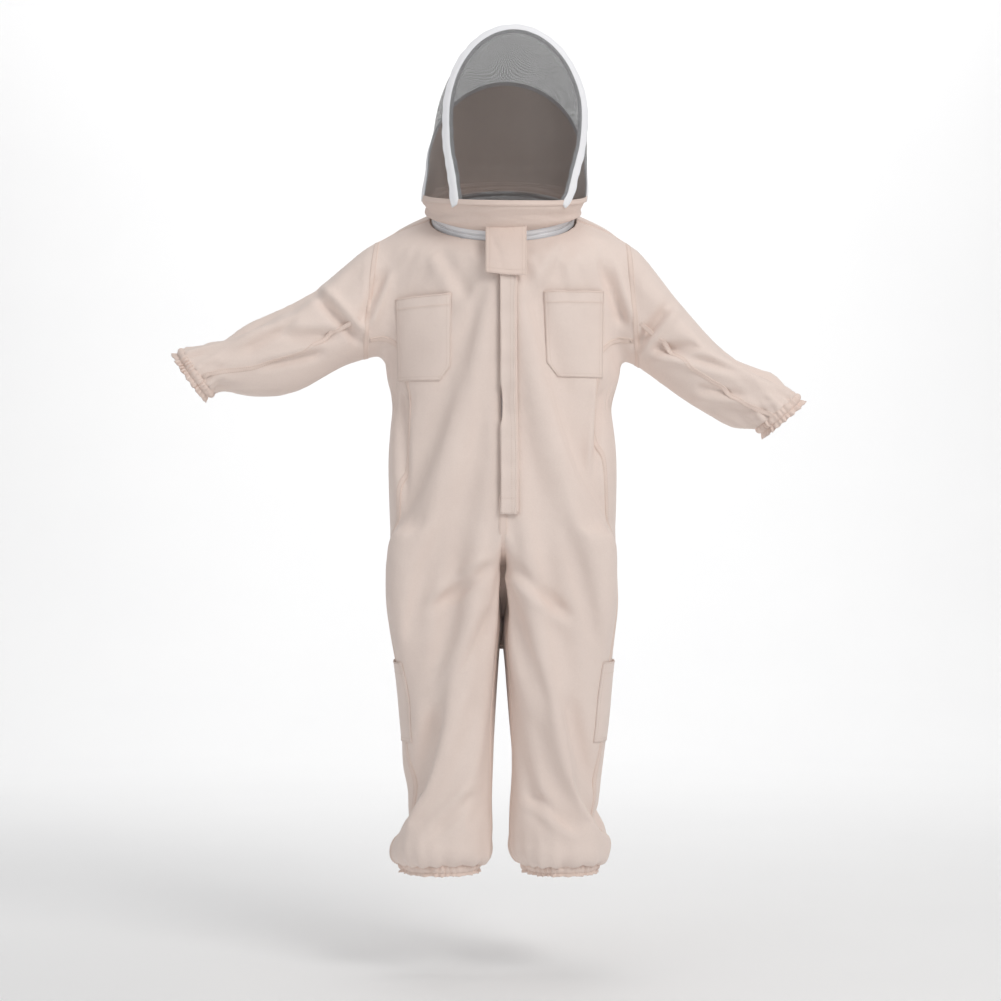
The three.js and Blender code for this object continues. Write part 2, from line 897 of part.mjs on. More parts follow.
const slabInFront = leaningSlab(frontHoopLean, frontOrigin, -far, -halfFront - seamGap);
add("front_veil", meshDome.intersect(slabInFront), veil);
const slabBehind = leaningSlab(rearHoopLean, rearOrigin, halfRear + seamGap, far);
add("hood_rear_panel", clothDome.intersect(slabBehind), cotton);
const crown = meshDome
  .subtract(leaningSlab(frontHoopLean, frontOrigin, -far, halfFront + seamGap))
  .subtract(leaningSlab(rearHoopLean, rearOrigin, -halfRear - seamGap, far));
add("crown_veil", crown, veil);
const frontBinding = bindingDome.intersect(
  leaningSlab(frontHoopLean, frontOrigin, -halfFront, halfFront),
);
add("front_binding", frontBinding, whiteTape);
const rearBinding = bindingDome.intersect(
  leaningSlab(rearHoopLean, rearOrigin, -halfRear, halfRear),
);
add("rear_binding", rearBinding, whiteTape);

// The spring hoop that runs inside a binding, from one side of the band over to the other.
function hoop(name, origin, lean, middleAngle, sideAngle, slack) {
  const inset = -meshWall - bindingProud - hoopRadius - slack;
  const normal = [0, Math.cos(lean), -Math.sin(lean)];
  const isBefore = (angle, place) => {
    const d = sub(hood.point(angle, place, inset), origin);
    return d[1] * normal[1] + d[2] * normal[2] < 0;
  };
  const lastSame = (from, to, isSame) => {
    let low = from;
    let high = to;
    for (let k = 0; k < 30; k++) {
      const middle = (low + high) / 2;
      if (isSame(middle)) {
        low = middle;
      } else {
        high = middle;
      }
    }
    return low;
  };
  const bottom = bandTopPlace + 0.05;
  const start = isBefore(middleAngle, bottom);
  const top = lastSame(bottom, hoodTop - 0.2, (place) => isBefore(middleAngle, place) === start);
  const half = [];
  const count = 11;
  for (let i = 0; i <= count; i++) {
    const place = bottom + (top - bottom) * (1 - (1 - i / count) ** 2);
    const angle = lastSame(middleAngle, sideAngle, (a) => isBefore(a, place) === start);
    half.push(hood.point(angle, place, inset));
  }
  const mirrored = half.slice(0, count).reverse();
  const points = [...half, ...mirrored.map(([x, y, z]) => [-x, y, z])];
  points.splice(count, 1, [0, half[count][1], half[count][2]]);
  const section = new THREE.Shape();
  for (let i = 0; i < 6; i++) {
    const turn = (Math.PI * i) / 3;
    const x = hoopRadius * Math.cos(turn);
    const y = hoopRadius * Math.sin(turn);
    if (i === 0) {
      section.moveTo(x, y);
    } else {
      section.lineTo(x, y);
    }
  }
  section.closePath();
  const geometry = new THREE.ExtrudeGeometry(section, {
    steps: 26,
    bevelEnabled: false,
    extrudePath: new THREE.CatmullRomCurve3(points.map((p) => new THREE.Vector3(...p))),
  });
  add(name, solidOf(geometry), spring);
}
hoop("front_hoop", frontOrigin, frontHoopLean, -Math.PI / 2, 0, 4.0);
hoop("rear_hoop", rearOrigin, rearHoopLean, Math.PI / 2, -0.6, 2.8);

// ---- Neck flap and its hook and loop patches ----

// A strip across the body with the given outline in y and z.
function crossStrip(outline, lowX, highX) {
  const shape = new THREE.Shape(outline.map(([y, z]) => new THREE.Vector2(y, z)));
  const geometry = new THREE.ExtrudeGeometry(shape, {
    depth: highX - lowX,
    bevelEnabled: false,
  });
  geometry.rotateX(Math.PI / 2);
  geometry.rotateZ(Math.PI / 2);
  geometry.translate(lowX, 0, 0);
  return solidOf(geometry);
}

const flapLine = [
  [-134, -40],
  [-143, -54],
  [-151, -72],
  [-161, flapBottomZ],
];
const shifted = (line, dy) => line.map(([y, z]) => [y + dy, z]);
const flapOutline = [...flapLine, ...shifted(flapLine, flapWall).reverse()];
const flap = crossStrip(flapOutline, flapLeftX, flapRightX).subtract(hoodCore);
add("neck_flap", flap, cotton);
const hookLine = [
  [-153.4, -82],
  [-159.4, -107],
];
const hookFace = shifted(hookLine, flapWall + seamGap);
const hookOutline = [...hookFace, ...shifted(hookFace, hookWall).reverse()];
add("flap_hook_patch", crossStrip(hookOutline, -20, 30), elastic);
const loopPatch = body
  .wall(bodyTop - 4, bodyTop, 8, seamGap + hookWall, seamGap)
  .intersect(block([-22, -far, -109], [32, 0, -80]));
add("chest_loop_patch", loopPatch, elastic);

export default suit;
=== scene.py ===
# Looks of a beekeeping suit: cotton coverall, elastic cuffs and ankles, zip-on veil hood.
# Metres, +Z up, -Y is the wearer's front, +X the wearer's left. Origin: centre of the neck zip ring.
import math

import bmesh
import bpy
import numpy as np
from mathutils import Matrix, Vector, noise
from mathutils.bvhtree import BVHTree


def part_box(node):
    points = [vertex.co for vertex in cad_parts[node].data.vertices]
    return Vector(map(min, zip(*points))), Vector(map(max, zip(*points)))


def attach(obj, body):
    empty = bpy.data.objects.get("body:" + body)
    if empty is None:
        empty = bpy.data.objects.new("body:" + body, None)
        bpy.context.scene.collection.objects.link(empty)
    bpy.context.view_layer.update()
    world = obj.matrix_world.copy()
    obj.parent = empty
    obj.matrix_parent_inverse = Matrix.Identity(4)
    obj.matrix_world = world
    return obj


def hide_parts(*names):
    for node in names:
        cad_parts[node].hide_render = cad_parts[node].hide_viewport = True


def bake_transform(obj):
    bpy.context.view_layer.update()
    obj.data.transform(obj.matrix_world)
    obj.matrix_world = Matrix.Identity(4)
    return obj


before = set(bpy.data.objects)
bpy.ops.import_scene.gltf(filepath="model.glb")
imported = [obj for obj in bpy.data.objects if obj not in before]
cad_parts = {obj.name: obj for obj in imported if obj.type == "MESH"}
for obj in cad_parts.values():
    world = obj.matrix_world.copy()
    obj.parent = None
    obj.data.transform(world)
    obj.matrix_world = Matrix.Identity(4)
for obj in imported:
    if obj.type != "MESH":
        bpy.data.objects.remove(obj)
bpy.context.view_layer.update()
rng = np.random.default_rng(11)

# ---------------------------------------------------------------- view of the subject
CAM_X, CAM_Y, CAM_Z = -0.005, -5.0, -0.556
SPAN = 0.00195  # metres seen by one step of the picture at y = 0


def seen(u, v, y=-0.15):
    """The x and z of a point seen at (u, v) in the picture when it lies at depth y."""
    near = (y - CAM_Y) / -CAM_Y
    return (CAM_X + (u - 500.5) * SPAN * near, CAM_Z + (500.5 - v) * SPAN * near)


# ---------------------------------------------------------------- numbers
NECK_R = 0.136
LEAN = math.radians(23)
ARMHOLE_TOP = -0.050
ARMPIT = -0.265
WAIST = -0.361
HIP = -0.556
CROTCH = -0.663
HEM = -1.280
ANKLE_HEM = 0.024
CUFF_HEM = 0.022
SIDE_SEAM_Y = -0.088
SEAM_SLOPE = 0.060
SEAM_TURN_Z = -0.272
SEAM_RISE = 0.90
WALL = 0.0011


def rows_at(rows, place):
    """Smooth interpolation along rows of numbers; place is an array counted in rows."""
    rows = np.asarray(rows, float)
    last = len(rows) - 1
    at = np.clip(np.asarray(place, float), 0, last)
    i = np.minimum(np.floor(at).astype(int), last - 1)
    f = (at - i)[:, None]
    a = rows[np.maximum(i - 1, 0)]
    b = rows[i]
    c = rows[i + 1]
    d = rows[np.minimum(i + 2, last)]
    s0 = (c - a) / 2
    s1 = (d - b) / 2
    f2, f3 = f * f, f * f * f
    return b * (2 * f3 - 3 * f2 + 1) + s0 * (f3 - 2 * f2 + f) + c * (3 * f2 - 2 * f3) + s1 * (f3 - f2)


def power(v, e):
    return np.sign(v) * np.abs(v) ** e


def loop_points(row, angle, exponent):
    """Points of one loop: row is [zSide, zFront, zBack, half, front, back]; arrays broadcast."""
    z0, zf, zb, half, front, back = [np.asarray(v, float) for v in row]
    c = power(np.cos(angle), 2 / exponent)
    s = power(np.sin(angle), 2 / exponent)
    z = z0 + (zb - zf) / 2 * s + ((zb + zf) / 2 - z0) * s * s
    return np.stack([half * c, (front + back) / 2 + (back - front) / 2 * s, z], -1)


def neck_loop(height, radius=NECK_R):
    y = -height * math.sin(LEAN)
    z = height * math.cos(LEAN)
    reach, rise = radius * math.cos(LEAN), radius * math.sin(LEAN)
    return [z, z - rise, z + rise, radius, y - reach, y + reach]


def level(z, half, front, back):
    return [z, z, z, half, front, back]


BODY_ROWS = [
    level(CROTCH + 0.036, 0.236, -0.149, 0.148),
    level((CROTCH + HIP) / 2 + 0.016, 0.2375, -0.150, 0.1495),
    level(HIP, 0.238, -0.150, 0.150),
    level((HIP + WAIST) / 2, 0.234, -0.149, 0.142),
    level(WAIST, 0.220, -0.146, 0.128),
    level(WAIST + 0.036, 0.229, -0.149, 0.143),
    level(ARMPIT, 0.232, -0.150, 0.150),
    [ARMPIT + 0.105, ARMPIT + 0.100, ARMPIT + 0.115, 0.240, -0.150, 0.152],
    [ARMHOLE_TOP - 0.035, ARMHOLE_TOP - 0.066, ARMHOLE_TOP - 0.010, 0.243, -0.150, 0.152],
    [ARMHOLE_TOP + 0.012, ARMHOLE_TOP - 0.042, ARMHOLE_TOP + 0.040, 0.226, -0.147, 0.149],
    [ARMHOLE_TOP + 0.034, ARMHOLE_TOP - 0.026, ARMHOLE_TOP + 0.072, NECK_R + 0.036, -0.137, 0.141],
    neck_loop(-0.0083),
    neck_loop(0.030),
]
BODY_TOP = len(BODY_ROWS) - 1

# z, inner x, outer x, front y, back y for the wearer's left and right leg
LEG_ROWS = {
    1: [
        [-1.300, 0.054, 0.168, -0.074, 0.080],
        [-1.272, 0.052, 0.170, -0.077, 0.083],
        [-1.256, 0.044, 0.182, -0.088, 0.094],
        [-1.232, 0.022, 0.203, -0.106, 0.113],
        [-1.190, 0.016, 0.206, -0.112, 0.117],
        [-1.141, 0.018, 0.200, -0.110, 0.114],
        [-1.063, 0.023, 0.199, -0.109, 0.112],
        [-0.985, 0.016, 0.209, -0.115, 0.116],
        [-0.907, 0.009, 0.211, -0.122, 0.122],
        [-0.829, 0.006, 0.219, -0.131, 0.129],
        [-0.751, 0.004, 0.230, -0.140, 0.138],
        [-0.700, 0.0035, 0.232, -0.145, 0.143],
        [CROTCH, 0.000, 0.234, -0.148, 0.146],
        [-0.632, -0.028, 0.236, -0.149, 0.148],
        [-0.600, -0.060, 0.236, -0.149, 0.149],
    ],
    -1: [
        [-1.300, 0.060, 0.174, -0.074, 0.080],
        [-1.272, 0.058, 0.178, -0.077, 0.083],
        [-1.256, 0.048, 0.194, -0.088, 0.094],
        [-1.232, 0.029, 0.215, -0.106, 0.113],
        [-1.190, 0.023, 0.214, -0.112, 0.117],
        [-1.141, 0.025, 0.203, -0.110, 0.114],
        [-1.063, 0.021, 0.196, -0.109, 0.112],
        [-0.985, 0.018, 0.203, -0.115, 0.116],
        [-0.907, 0.014, 0.205, -0.122, 0.122],
        [-0.829, 0.007, 0.218, -0.131, 0.129],
        [-0.751, 0.004, 0.229, -0.140, 0.138],
        [-0.700, 0.0035, 0.232, -0.145, 0.143],
        [CROTCH, 0.000, 0.234, -0.148, 0.146],
        [-0.632, -0.028, 0.236, -0.149, 0.148],
        [-0.600, -0.060, 0.236, -0.149, 0.149],
    ],
}

# top x, top z, underside x, underside z from inside the body out to the cuff
SLEEVE_ROWS = {
    1: [
        [0.150, ARMHOLE_TOP + 0.006, 0.150, ARMPIT + 0.020],
        [0.205, ARMHOLE_TOP + 0.000, 0.200, ARMPIT + 0.012],
        [0.252, -0.054, 0.240, ARMPIT - 0.006],
        [0.302, -0.108, 0.264, -0.284],
        [0.353, -0.166, 0.300, -0.312],
        [0.433, -0.240, 0.360, -0.356],
        [0.507, -0.285, 0.425, -0.404],
        [0.538, -0.313, 0.455, -0.414],
        [0.560, -0.345, 0.486, -0.418],
        [0.571, -0.374, 0.511, -0.425],
        [0.580, -0.398, 0.534, -0.440],
    ],
    -1: [
        [0.150, ARMHOLE_TOP + 0.006, 0.150, ARMPIT + 0.020],
        [0.205, ARMHOLE_TOP + 0.002, 0.205, ARMPIT + 0.016],
        [0.255, -0.052, 0.252, ARMPIT + 0.003],
        [0.312, -0.098, 0.282, ARMPIT - 0.008],
        [0.369, -0.143, 0.325, -0.294],
        [0.452, -0.180, 0.410, -0.342],
        [0.500, -0.204, 0.482, -0.352],
        [0.532, -0.238, 0.535, -0.343],
        [0.590, -0.256, 0.556, -0.352],
        [0.634, -0.275, 0.572, -0.364],
        [0.656, -0.292, 0.592, -0.378],
    ],
}
CUFF_PLACE = 9


# ---------------------------------------------------------------- meshes
def make(name, co, faces, smooth=True):
    mesh = bpy.data.meshes.new(name)
    co = np.asarray(co, np.float32).reshape(-1, 3)
    sizes = np.fromiter((len(f) for f in faces), np.int32, len(faces))
    flat = np.fromiter((i for f in faces for i in f), np.int32, int(sizes.sum()))
    mesh.vertices.add(len(co))
    mesh.vertices.foreach_set("co", co.ravel())
    mesh.loops.add(len(flat))
    mesh.loops.foreach_set("vertex_index", flat)
    mesh.polygons.add(len(sizes))
    mesh.polygons.foreach_set("loop_start", np.concatenate([[0], np.cumsum(sizes)[:-1]]).astype(np.int32))
    mesh.polygons.foreach_set("loop_total", sizes)
    mesh.update(calc_edges=True)
    mesh.validate()
    obj = bpy.data.objects.new(name, mesh)
    bpy.context.scene.collection.objects.link(obj)
    if smooth:
        mesh.shade_smooth()
    return obj


def grid_faces(rows, cols, closed=False, flip=False):
    out = []
    span = cols if closed else cols - 1
    for r in range(rows - 1):
        for c in range(span):
            a = r * cols + c
            b = r * cols + (c + 1) % cols
            q = (a, b, b + cols, a + cols)
            out.append(q[::-1] if flip else q)
    return out


def coords(obj):
    co = np.zeros(len(obj.data.vertices) * 3)
    obj.data.vertices.foreach_get("co", co)
    return co.reshape(-1, 3)


def set_coords(obj, co):
    obj.data.vertices.foreach_set("co", np.asarray(co, np.float32).ravel())
    obj.data.update()


def normals(obj):
    n = np.zeros(len(obj.data.vertices) * 3)
    obj.data.vertices.foreach_get("normal", n)
    return n.reshape(-1, 3)


def apply_all(obj):
    """Turns the object's modifiers into its mesh."""
    dg = bpy.context.evaluated_depsgraph_get()
    new = bpy.data.meshes.new_from_object(obj.evaluated_get(dg), depsgraph=dg)
    obj.modifiers.clear()
    old = obj.data
    obj.data = new
    bpy.data.meshes.remove(old)
    return obj


def drop(obj):
    mesh = obj.data
    bpy.data.objects.remove(obj)
    bpy.data.meshes.remove(mesh)


def tube(rows_of_points):
    """Closed tube from loops of points, ends closed by one face each."""
    count = len(rows_of_points[0])
    co = np.concatenate(rows_of_points)
    faces = grid_faces(len(rows_of_points), count, closed=True)
    faces.append(tuple(range(count))[::-1])
    faces.append(tuple(range((len(rows_of_points) - 1) * count, len(rows_of_points) * count)))
    return co, faces


def half_trunk(side):
    loops = []
    for place in np.linspace(0, BODY_TOP, 72):
        row = rows_at(BODY_ROWS, [place])[0]
        near = max(0.0, place - BODY_TOP + 3) / 3
        angle = np.linspace(-math.pi / 2, math.pi / 2, 46)
        p = loop_points(row, angle, 2.45 - 0.45 * min(near, 1))
        wall = np.linspace(p[-1], p[0], 14)[1:-1]
        p = np.concatenate([p, wall])
        p[:, 0] *= side
        loops.append(p if side > 0 else p[::-1])
    return tube(loops)


def leg_tube(side):
    loops = []
    rows = LEG_ROWS[side]
    for place in np.linspace(0, len(rows) - 1, 80):
        z, inner, outer, front, back = rows_at(rows, [place])[0]
        a = np.linspace(0, 2 * math.pi, 72, endpoint=False)
        e = 2.6 + 2.2 * float(np.clip((z + 0.98) / 0.26, 0, 1)) ** 1.5
        c, s = power(np.cos(a), 2 / e), power(np.sin(a), 2 / e)
        x = side * (inner + outer) / 2 + (outer - inner) / 2 * c
        loops.append(np.stack([x, (front + back) / 2 + (back - front) / 2 * s, np.full(72, z)], -1))
    return tube(loops)


def sleeve_points(side, place, angle):
    top_x, top_z, low_x, low_z = rows_at(SLEEVE_ROWS[side], np.atleast_1d(place)).T
    way = np.clip(np.atleast_1d(place) / CUFF_PLACE, 0, 1.1)
    y0 = -0.095 * way ** 1.4
    depth = 0.098 + (0.050 - 0.098) * way
    c, s = np.cos(angle), np.sin(angle)
    x = side * ((top_x + low_x) / 2 + (top_x - low_x) / 2 * c)
    z = (top_z + low_z) / 2 + (top_z - low_z) / 2 * c
    return np.stack([x, y0 - side * depth * s, z], -1)


def sleeve_tube(side):
    loops = []
    a = np.linspace(0, 2 * math.pi, 56, endpoint=False)
    for place in np.linspace(0, CUFF_PLACE + 1, 60):
        loops.append(sleeve_points(side, np.full(56, place), a))
    return tube(loops)


def join_parts(name, parts):
    co, faces, base = [], [], 0
    for c, f in parts:
        co.append(c)
        faces += [tuple(i + base for i in q) for q in f]
        base += len(c)
    return make(name, np.concatenate(co), faces)


def cuff_frame(side):
    """Middle of the cuff opening and the way out of it."""
    top_x, top_z, low_x, low_z = rows_at(SLEEVE_ROWS[side], [CUFF_PLACE])[0]
    middle = Vector((side * (top_x + low_x) / 2, -0.095, (top_z + low_z) / 2))
    out = Vector((side * (top_z - low_z), 0, -(top_x - low_x)))
    if out.x * side < 0:
        out = -out
    return middle, out.normalized()


def cut(bm, point, normal, clear=True, where=None):
    faces = [f for f in bm.faces if where is None or where(f.calc_center_median())]
    edges = {e for f in faces for e in f.edges}
    verts = {v for f in faces for v in f.verts}
    geom = list(verts) + list(edges) + faces
    bmesh.ops.bisect_plane(
        bm, geom=geom, dist=1e-5, plane_co=point, plane_no=normal, clear_outer=clear, clear_inner=False
    )


NECK_N = Vector((0, -math.sin(LEAN), math.cos(LEAN)))
PITCH = 0.0105


def cloth_half(side):
    obj = join_parts("half", [half_trunk(side), leg_tube(side), sleeve_tube(side)])
    bm = bmesh.new()
    bm.from_mesh(obj.data)
    bmesh.ops.recalc_face_normals(bm, faces=bm.faces)
    bm.to_mesh(obj.data)
    bm.free()
    mod = obj.modifiers.new("voxels", "REMESH")
    mod.mode = "VOXEL"
    mod.voxel_size = PITCH
    smooth = obj.modifiers.new("smooth", "SMOOTH")
    smooth.factor = 0.5
    smooth.iterations = 6
    apply_all(obj)
    bm = bmesh.new()
    bm.from_mesh(obj.data)
    cut(bm, (side * 0.003, 0, 0), (-side, 0, 0))
    cut(bm, NECK_N * -0.0083, NECK_N)
    middle, out = cuff_frame(side)
    cut(bm, middle - out * CUFF_HEM, out, where=lambda c: abs(c.x) > 0.42 and c.z > -0.5)
    cut(bm, (0, 0, HEM + ANKLE_HEM), (0, 0, -1))
    bmesh.ops.remove_doubles(bm, verts=bm.verts, dist=0.0012)
    bmesh.ops.recalc_face_normals(bm, faces=bm.faces)
    bm.to_mesh(obj.data)
    bm.free()
    return obj


halves = [cloth_half(1), cloth_half(-1)]
print("VERTS", [len(h.data.vertices) for h in halves])

# ---------------------------------------------------------------- the cloth settles
bpy.ops.object.select_all(action="DESELECT")
for h in halves:
    h.select_set(True)
bpy.context.view_layer.objects.active = halves[0]
bpy.ops.object.join()
cloth = halves[0]
cloth.name = "cloth"


def boundary(obj):
    """Which vertices lie on an open edge."""
    mesh = obj.data
    loop_edges = np.zeros(len(mesh.loops), np.int32)
    mesh.loops.foreach_get("edge_index", loop_edges)
    ends = np.zeros(len(mesh.edges) * 2, np.int32)
    mesh.edges.foreach_get("vertices", ends)
    once = np.bincount(loop_edges, minlength=len(mesh.edges)) == 1
    edge = np.zeros(len(mesh.vertices), bool)
    edge[ends.reshape(-1, 2)[once].ravel()] = True
    return edge


def settle(obj):
    """Lets extra cloth buckle into folds around the shape that it is held to."""
    co = coords(obj)
    x, y, z = co.T
    hold = np.full(len(co), 0.10)
    side_out = np.abs(x)
    hold[z > -0.10] = 0.25
    hold[(side_out < 0.03) & (y < 0) & (z > -0.57)] = 0.5
    hold[z < HEM + ANKLE_HEM + 0.006] = 1
    hold[boundary(obj)] = 1
    group = obj.vertex_groups.new(name="hold")
    for value in np.unique(hold):
        group.add([int(i) for i in np.where(hold == value)[0]], float(value), "REPLACE")
    obj.shape_key_add(name="Basis")
    rest = obj.shape_key_add(name="cut")
    body_part = np.clip((0.30 - side_out) / 0.08, 0, 1)
    wide = 1 + 0.045 * body_part + 0.03 * (1 - body_part)
    tall = 1 + 0.012 * body_part + 0.03 * (1 - body_part)
    cut_co = np.stack([x * wide, y * wide, z * tall], -1)
    rest.data.foreach_set("co", cut_co.astype(np.float32).ravel())
    rest.value = 0
    mod = obj.modifiers.new("cloth", "CLOTH")
    c = mod.settings
    c.quality = 4
    c.mass = 0.25
    c.air_damping = 2.0
    c.tension_stiffness = c.compression_stiffness = 12
    c.shear_stiffness = 4
    c.bending_stiffness = 3.0
    c.tension_damping = c.compression_damping = c.shear_damping = 6
    c.vertex_group_mass = "hold"
    c.pin_stiffness = 1.0
    c.rest_shape_key = rest
    c.effector_weights.gravity = 0.35
    mod.collision_settings.use_collision = False
    mod.collision_settings.use_self_collision = False
    scene = bpy.context.scene
    scene.frame_start, scene.frame_end = 1, FRAMES
    mod.point_cache.frame_start, mod.point_cache.frame_end = 1, FRAMES
    for f in range(1, FRAMES + 1):
        scene.frame_set(f)
    dg = bpy.context.evaluated_depsgraph_get()
    e = obj.evaluated_get(dg).data
    out = np.zeros(len(e.vertices) * 3)
    e.vertices.foreach_get("co", out)
    obj.modifiers.clear()
    obj.shape_key_clear()
    obj.vertex_groups.clear()
    scene.frame_set(1)
    set_coords(obj, out.reshape(-1, 3))


FRAMES = 36
settle(cloth)
mod = cloth.modifiers.new("fine", "SUBSURF")
mod.levels = mod.render_levels = 1
apply_all(cloth)


def smooth01(t):
    t = np.clip(t, 0, 1)
    return t * t * (3 - 2 * t)


def wave_noise(co, scale, seed, stretch=(1, 1, 1)):
    """Smooth random values of about -1 to 1 over points."""
    k = np.array(stretch) / scale
    return np.array([noise.noise(Vector(p * k) + Vector((seed * 7.3, seed * 3.1, seed))) for p in co])


def fold(co, n, a, b, width, depth, front=True, ridge=0.6):
    """Moves points in along a crease from a to b (x and z) and out beside it."""
    a, b = np.array(a), np.array(b)
    d = b - a
    length = np.hypot(*d)
    rel = co[:, [0, 2]] - a
    t = rel @ d / length ** 2
    off = (rel[:, 0] * d[1] - rel[:, 1] * d[0]) / length
    fade = smooth01(t / 0.25) * smooth01((1.15 - t) / 0.4)
    side = (n[:, 1] < 0.25) if front else (n[:, 1] > -0.25)
    q = off / width
    shape = -np.exp(-q * q) + ridge * np.exp(-((q - 1.7) ** 2))
    return n * (depth * fade * shape * side)[:, None]


def sculpt(obj):
    co = coords(obj)
    n = normals(obj)
    x, y, z = co.T
    move = np.zeros_like(co)
    out = np.abs(x)
    # gathers of the waist elastic at the sides and round the back
    back = smooth01((y + 0.11) / 0.05)
    near = np.exp(-((z - WAIST) / 0.030) ** 2)
    run = np.where(out > 0.19, y, x)
    ripple = np.sin(run * 2 * np.pi / 0.017 + 1.5 * np.sin(run * 40)) * np.exp(-((z - WAIST) / 0.022) ** 2)
    trunk = (out < 0.27) & (z < -0.3)
    move += n * ((0.0030 * ripple - 0.004 * near) * back * trunk)[:, None]
    # ripples drawn in by the ankle hems
    up = z - (HEM + ANKLE_HEM)
    leg_x = np.where(x > 0, 0.112, -0.118)
    turn = np.arctan2(y, x - leg_x)
    gather = np.sin(turn * 19 + 2.0 * np.sin(turn * 3) + 9 * up) * np.exp(-np.maximum(up, 0) / 0.028)
    gather += 0.8 * np.sin(turn * 9 + 1.3 * np.sin(turn * 2 + 1)) * np.exp(-np.maximum(up - 0.01, 0) / 0.07) * smooth01(up / 0.02)
    low = z < -1.05
    move += n * (0.0036 * gather * low * smooth01(up / 0.006 + 0.2))[:, None]
    # slack cloth that hangs over the ankle elastic
    sag = np.exp(-((up - 0.024 - 0.006 * np.sin(turn * 2 + np.sign(x))) / 0.016) ** 2)
    move += n * (0.0060 * sag * low)[:, None]
    move[:, 2] -= 0.0095 * np.exp(-((up - 0.014) / 0.014) ** 2) * low * (1 + 0.3 * np.sin(turn * 3 + 2))
    # ripples above the cuffs
    for side in (1, -1):
        middle, way = cuff_frame(side)
        rel = co - np.array(middle)
        back_up = -(rel @ np.array(way)) - CUFF_HEM
        r = rel - np.outer(rel @ np.array(way), np.array(way))
        across = np.cross(np.array(way), [0, 1, 0])
        turn = np.arctan2(r[:, 1], r @ across)
        on = (x * side > 0.40) & (z > -0.5)
        g = np.sin(turn * 15 + 2 * np.sin(turn * 2)) * np.exp(-np.maximum(back_up, 0) / 0.028)
        g += 0.9 * np.sin(turn * 7 + 1.2 * np.sin(turn * 2)) * np.exp(-np.maximum(back_up - 0.01, 0) / 0.06)
        move += n * (0.0032 * g * on * smooth01(back_up / 0.008 + 0.2))[:, None]
    # creases that run from the armpits and across the sleeves
    creases = [
        (seen(364, 346, -0.09), seen(316, 294, -0.09), 0.012, 0.0085),
        (seen(348, 336, -0.09), seen(280, 336, -0.09), 0.012, 0.0055),
        (seen(330, 352, -0.09), seen(262, 368, -0.09), 0.010, 0.006),
        (seen(300, 318, -0.09), seen(244, 352, -0.09), 0.011, 0.006),
        (seen(360, 327, -0.10), seen(383, 268, -0.12), 0.011, 0.007),
        (seen(631, 352, -0.09), seen(670, 303, -0.09), 0.012, 0.0095),
        (seen(646, 350, -0.09), seen(704, 346, -0.09), 0.012, 0.0065),
        (seen(652, 345, -0.09), seen(736, 372, -0.09), 0.010, 0.006),
        (seen(690, 388, -0.09), seen(748, 396, -0.09), 0.010, 0.005),
        (seen(626, 330, -0.12), seen(604, 258, -0.13), 0.012, 0.008),
        (seen(604, 372, -0.12), seen(596, 470, -0.13), 0.010, 0.006),
        (seen(402, 372, -0.12), seen(404, 500, -0.13), 0.010, 0.005),
        (seen(436, 240, -0.14), seen(470, 300, -0.15), 0.016, 0.003),
        (seen(574, 238, -0.14), seen(538, 300, -0.15), 0.016, 0.003),
        (seen(500, 560, -0.13), seen(432, 610, -0.14), 0.014, 0.006),
        (seen(506, 560, -0.13), seen(574, 620, -0.14), 0.014, 0.006),
        (seen(498, 600, -0.12), seen(450, 700, -0.13), 0.018, 0.005),
        (seen(508, 590, -0.12), seen(548, 720, -0.13), 0.018, 0.005),
        (seen(440, 700, -0.12), seen(414, 800, -0.12), 0.020, 0.005),
        (seen(566, 690, -0.12), seen(590, 790, -0.12), 0.020, 0.005),
        (seen(480, 790, -0.11), seen(430, 836, -0.11), 0.013, 0.005),
        (seen(524, 790, -0.11), seen(580, 830, -0.11), 0.013, 0.005),
    ]
    for a, b, width, depth in creases:
        move += fold(co, n, a, b, width * 0.9, depth * 1.75)
    # long soft folds that hang down the trunk and the legs
    hang = smooth01((-0.05 - z) / 0.08) * smooth01(up / 0.06) * (out < 0.27)
    long = wave_noise(co, 0.055, 5, (1.0, 1.0, 0.16))
    move += n * (0.0042 * long * hang)[:, None]
    # broad uneven drape of the whole cloth
    free = smooth01((-0.02 - z) / 0.1) * smooth01(up / 0.05)
    move += n * (0.0035 * wave_noise(co, 0.14, 1, (1.5, 1.5, 0.45)) * free)[:, None]
    hold = boundary(obj)
    move[hold] *= 0.15
    set_coords(obj, co + move)
    return obj


sculpt(cloth)
surface = BVHTree.FromPolygons(
    [tuple(v.co) for v in cloth.data.vertices], [tuple(q.vertices) for q in cloth.data.polygons]
)

# ---------------------------------------------------------------- panels
ARM_SEAM = {1: ((0.240, -0.040), (0.258, -0.272)), -1: ((0.242, -0.040), (0.266, -0.272))}


def arm_plane(side):
    (x0, z0), (x1, z1) = ARM_SEAM[side]
    d = Vector((x1 - x0, 0, z1 - z0)).normalized()
    return Vector((side * x0, 0, z0)), Vector((-d.z * side, 0, d.x))


def seam_y(z):
    """Depth of the side seam at a height, up to the shoulder seam at y = 0."""
    low = SIDE_SEAM_Y + SEAM_SLOPE * (WAIST - z)
    turn = SIDE_SEAM_Y + SEAM_SLOPE * (WAIST - SEAM_TURN_Z)
    return np.where(z < SEAM_TURN_Z, low, np.minimum(0.0, turn + (z - SEAM_TURN_Z) * SEAM_RISE))


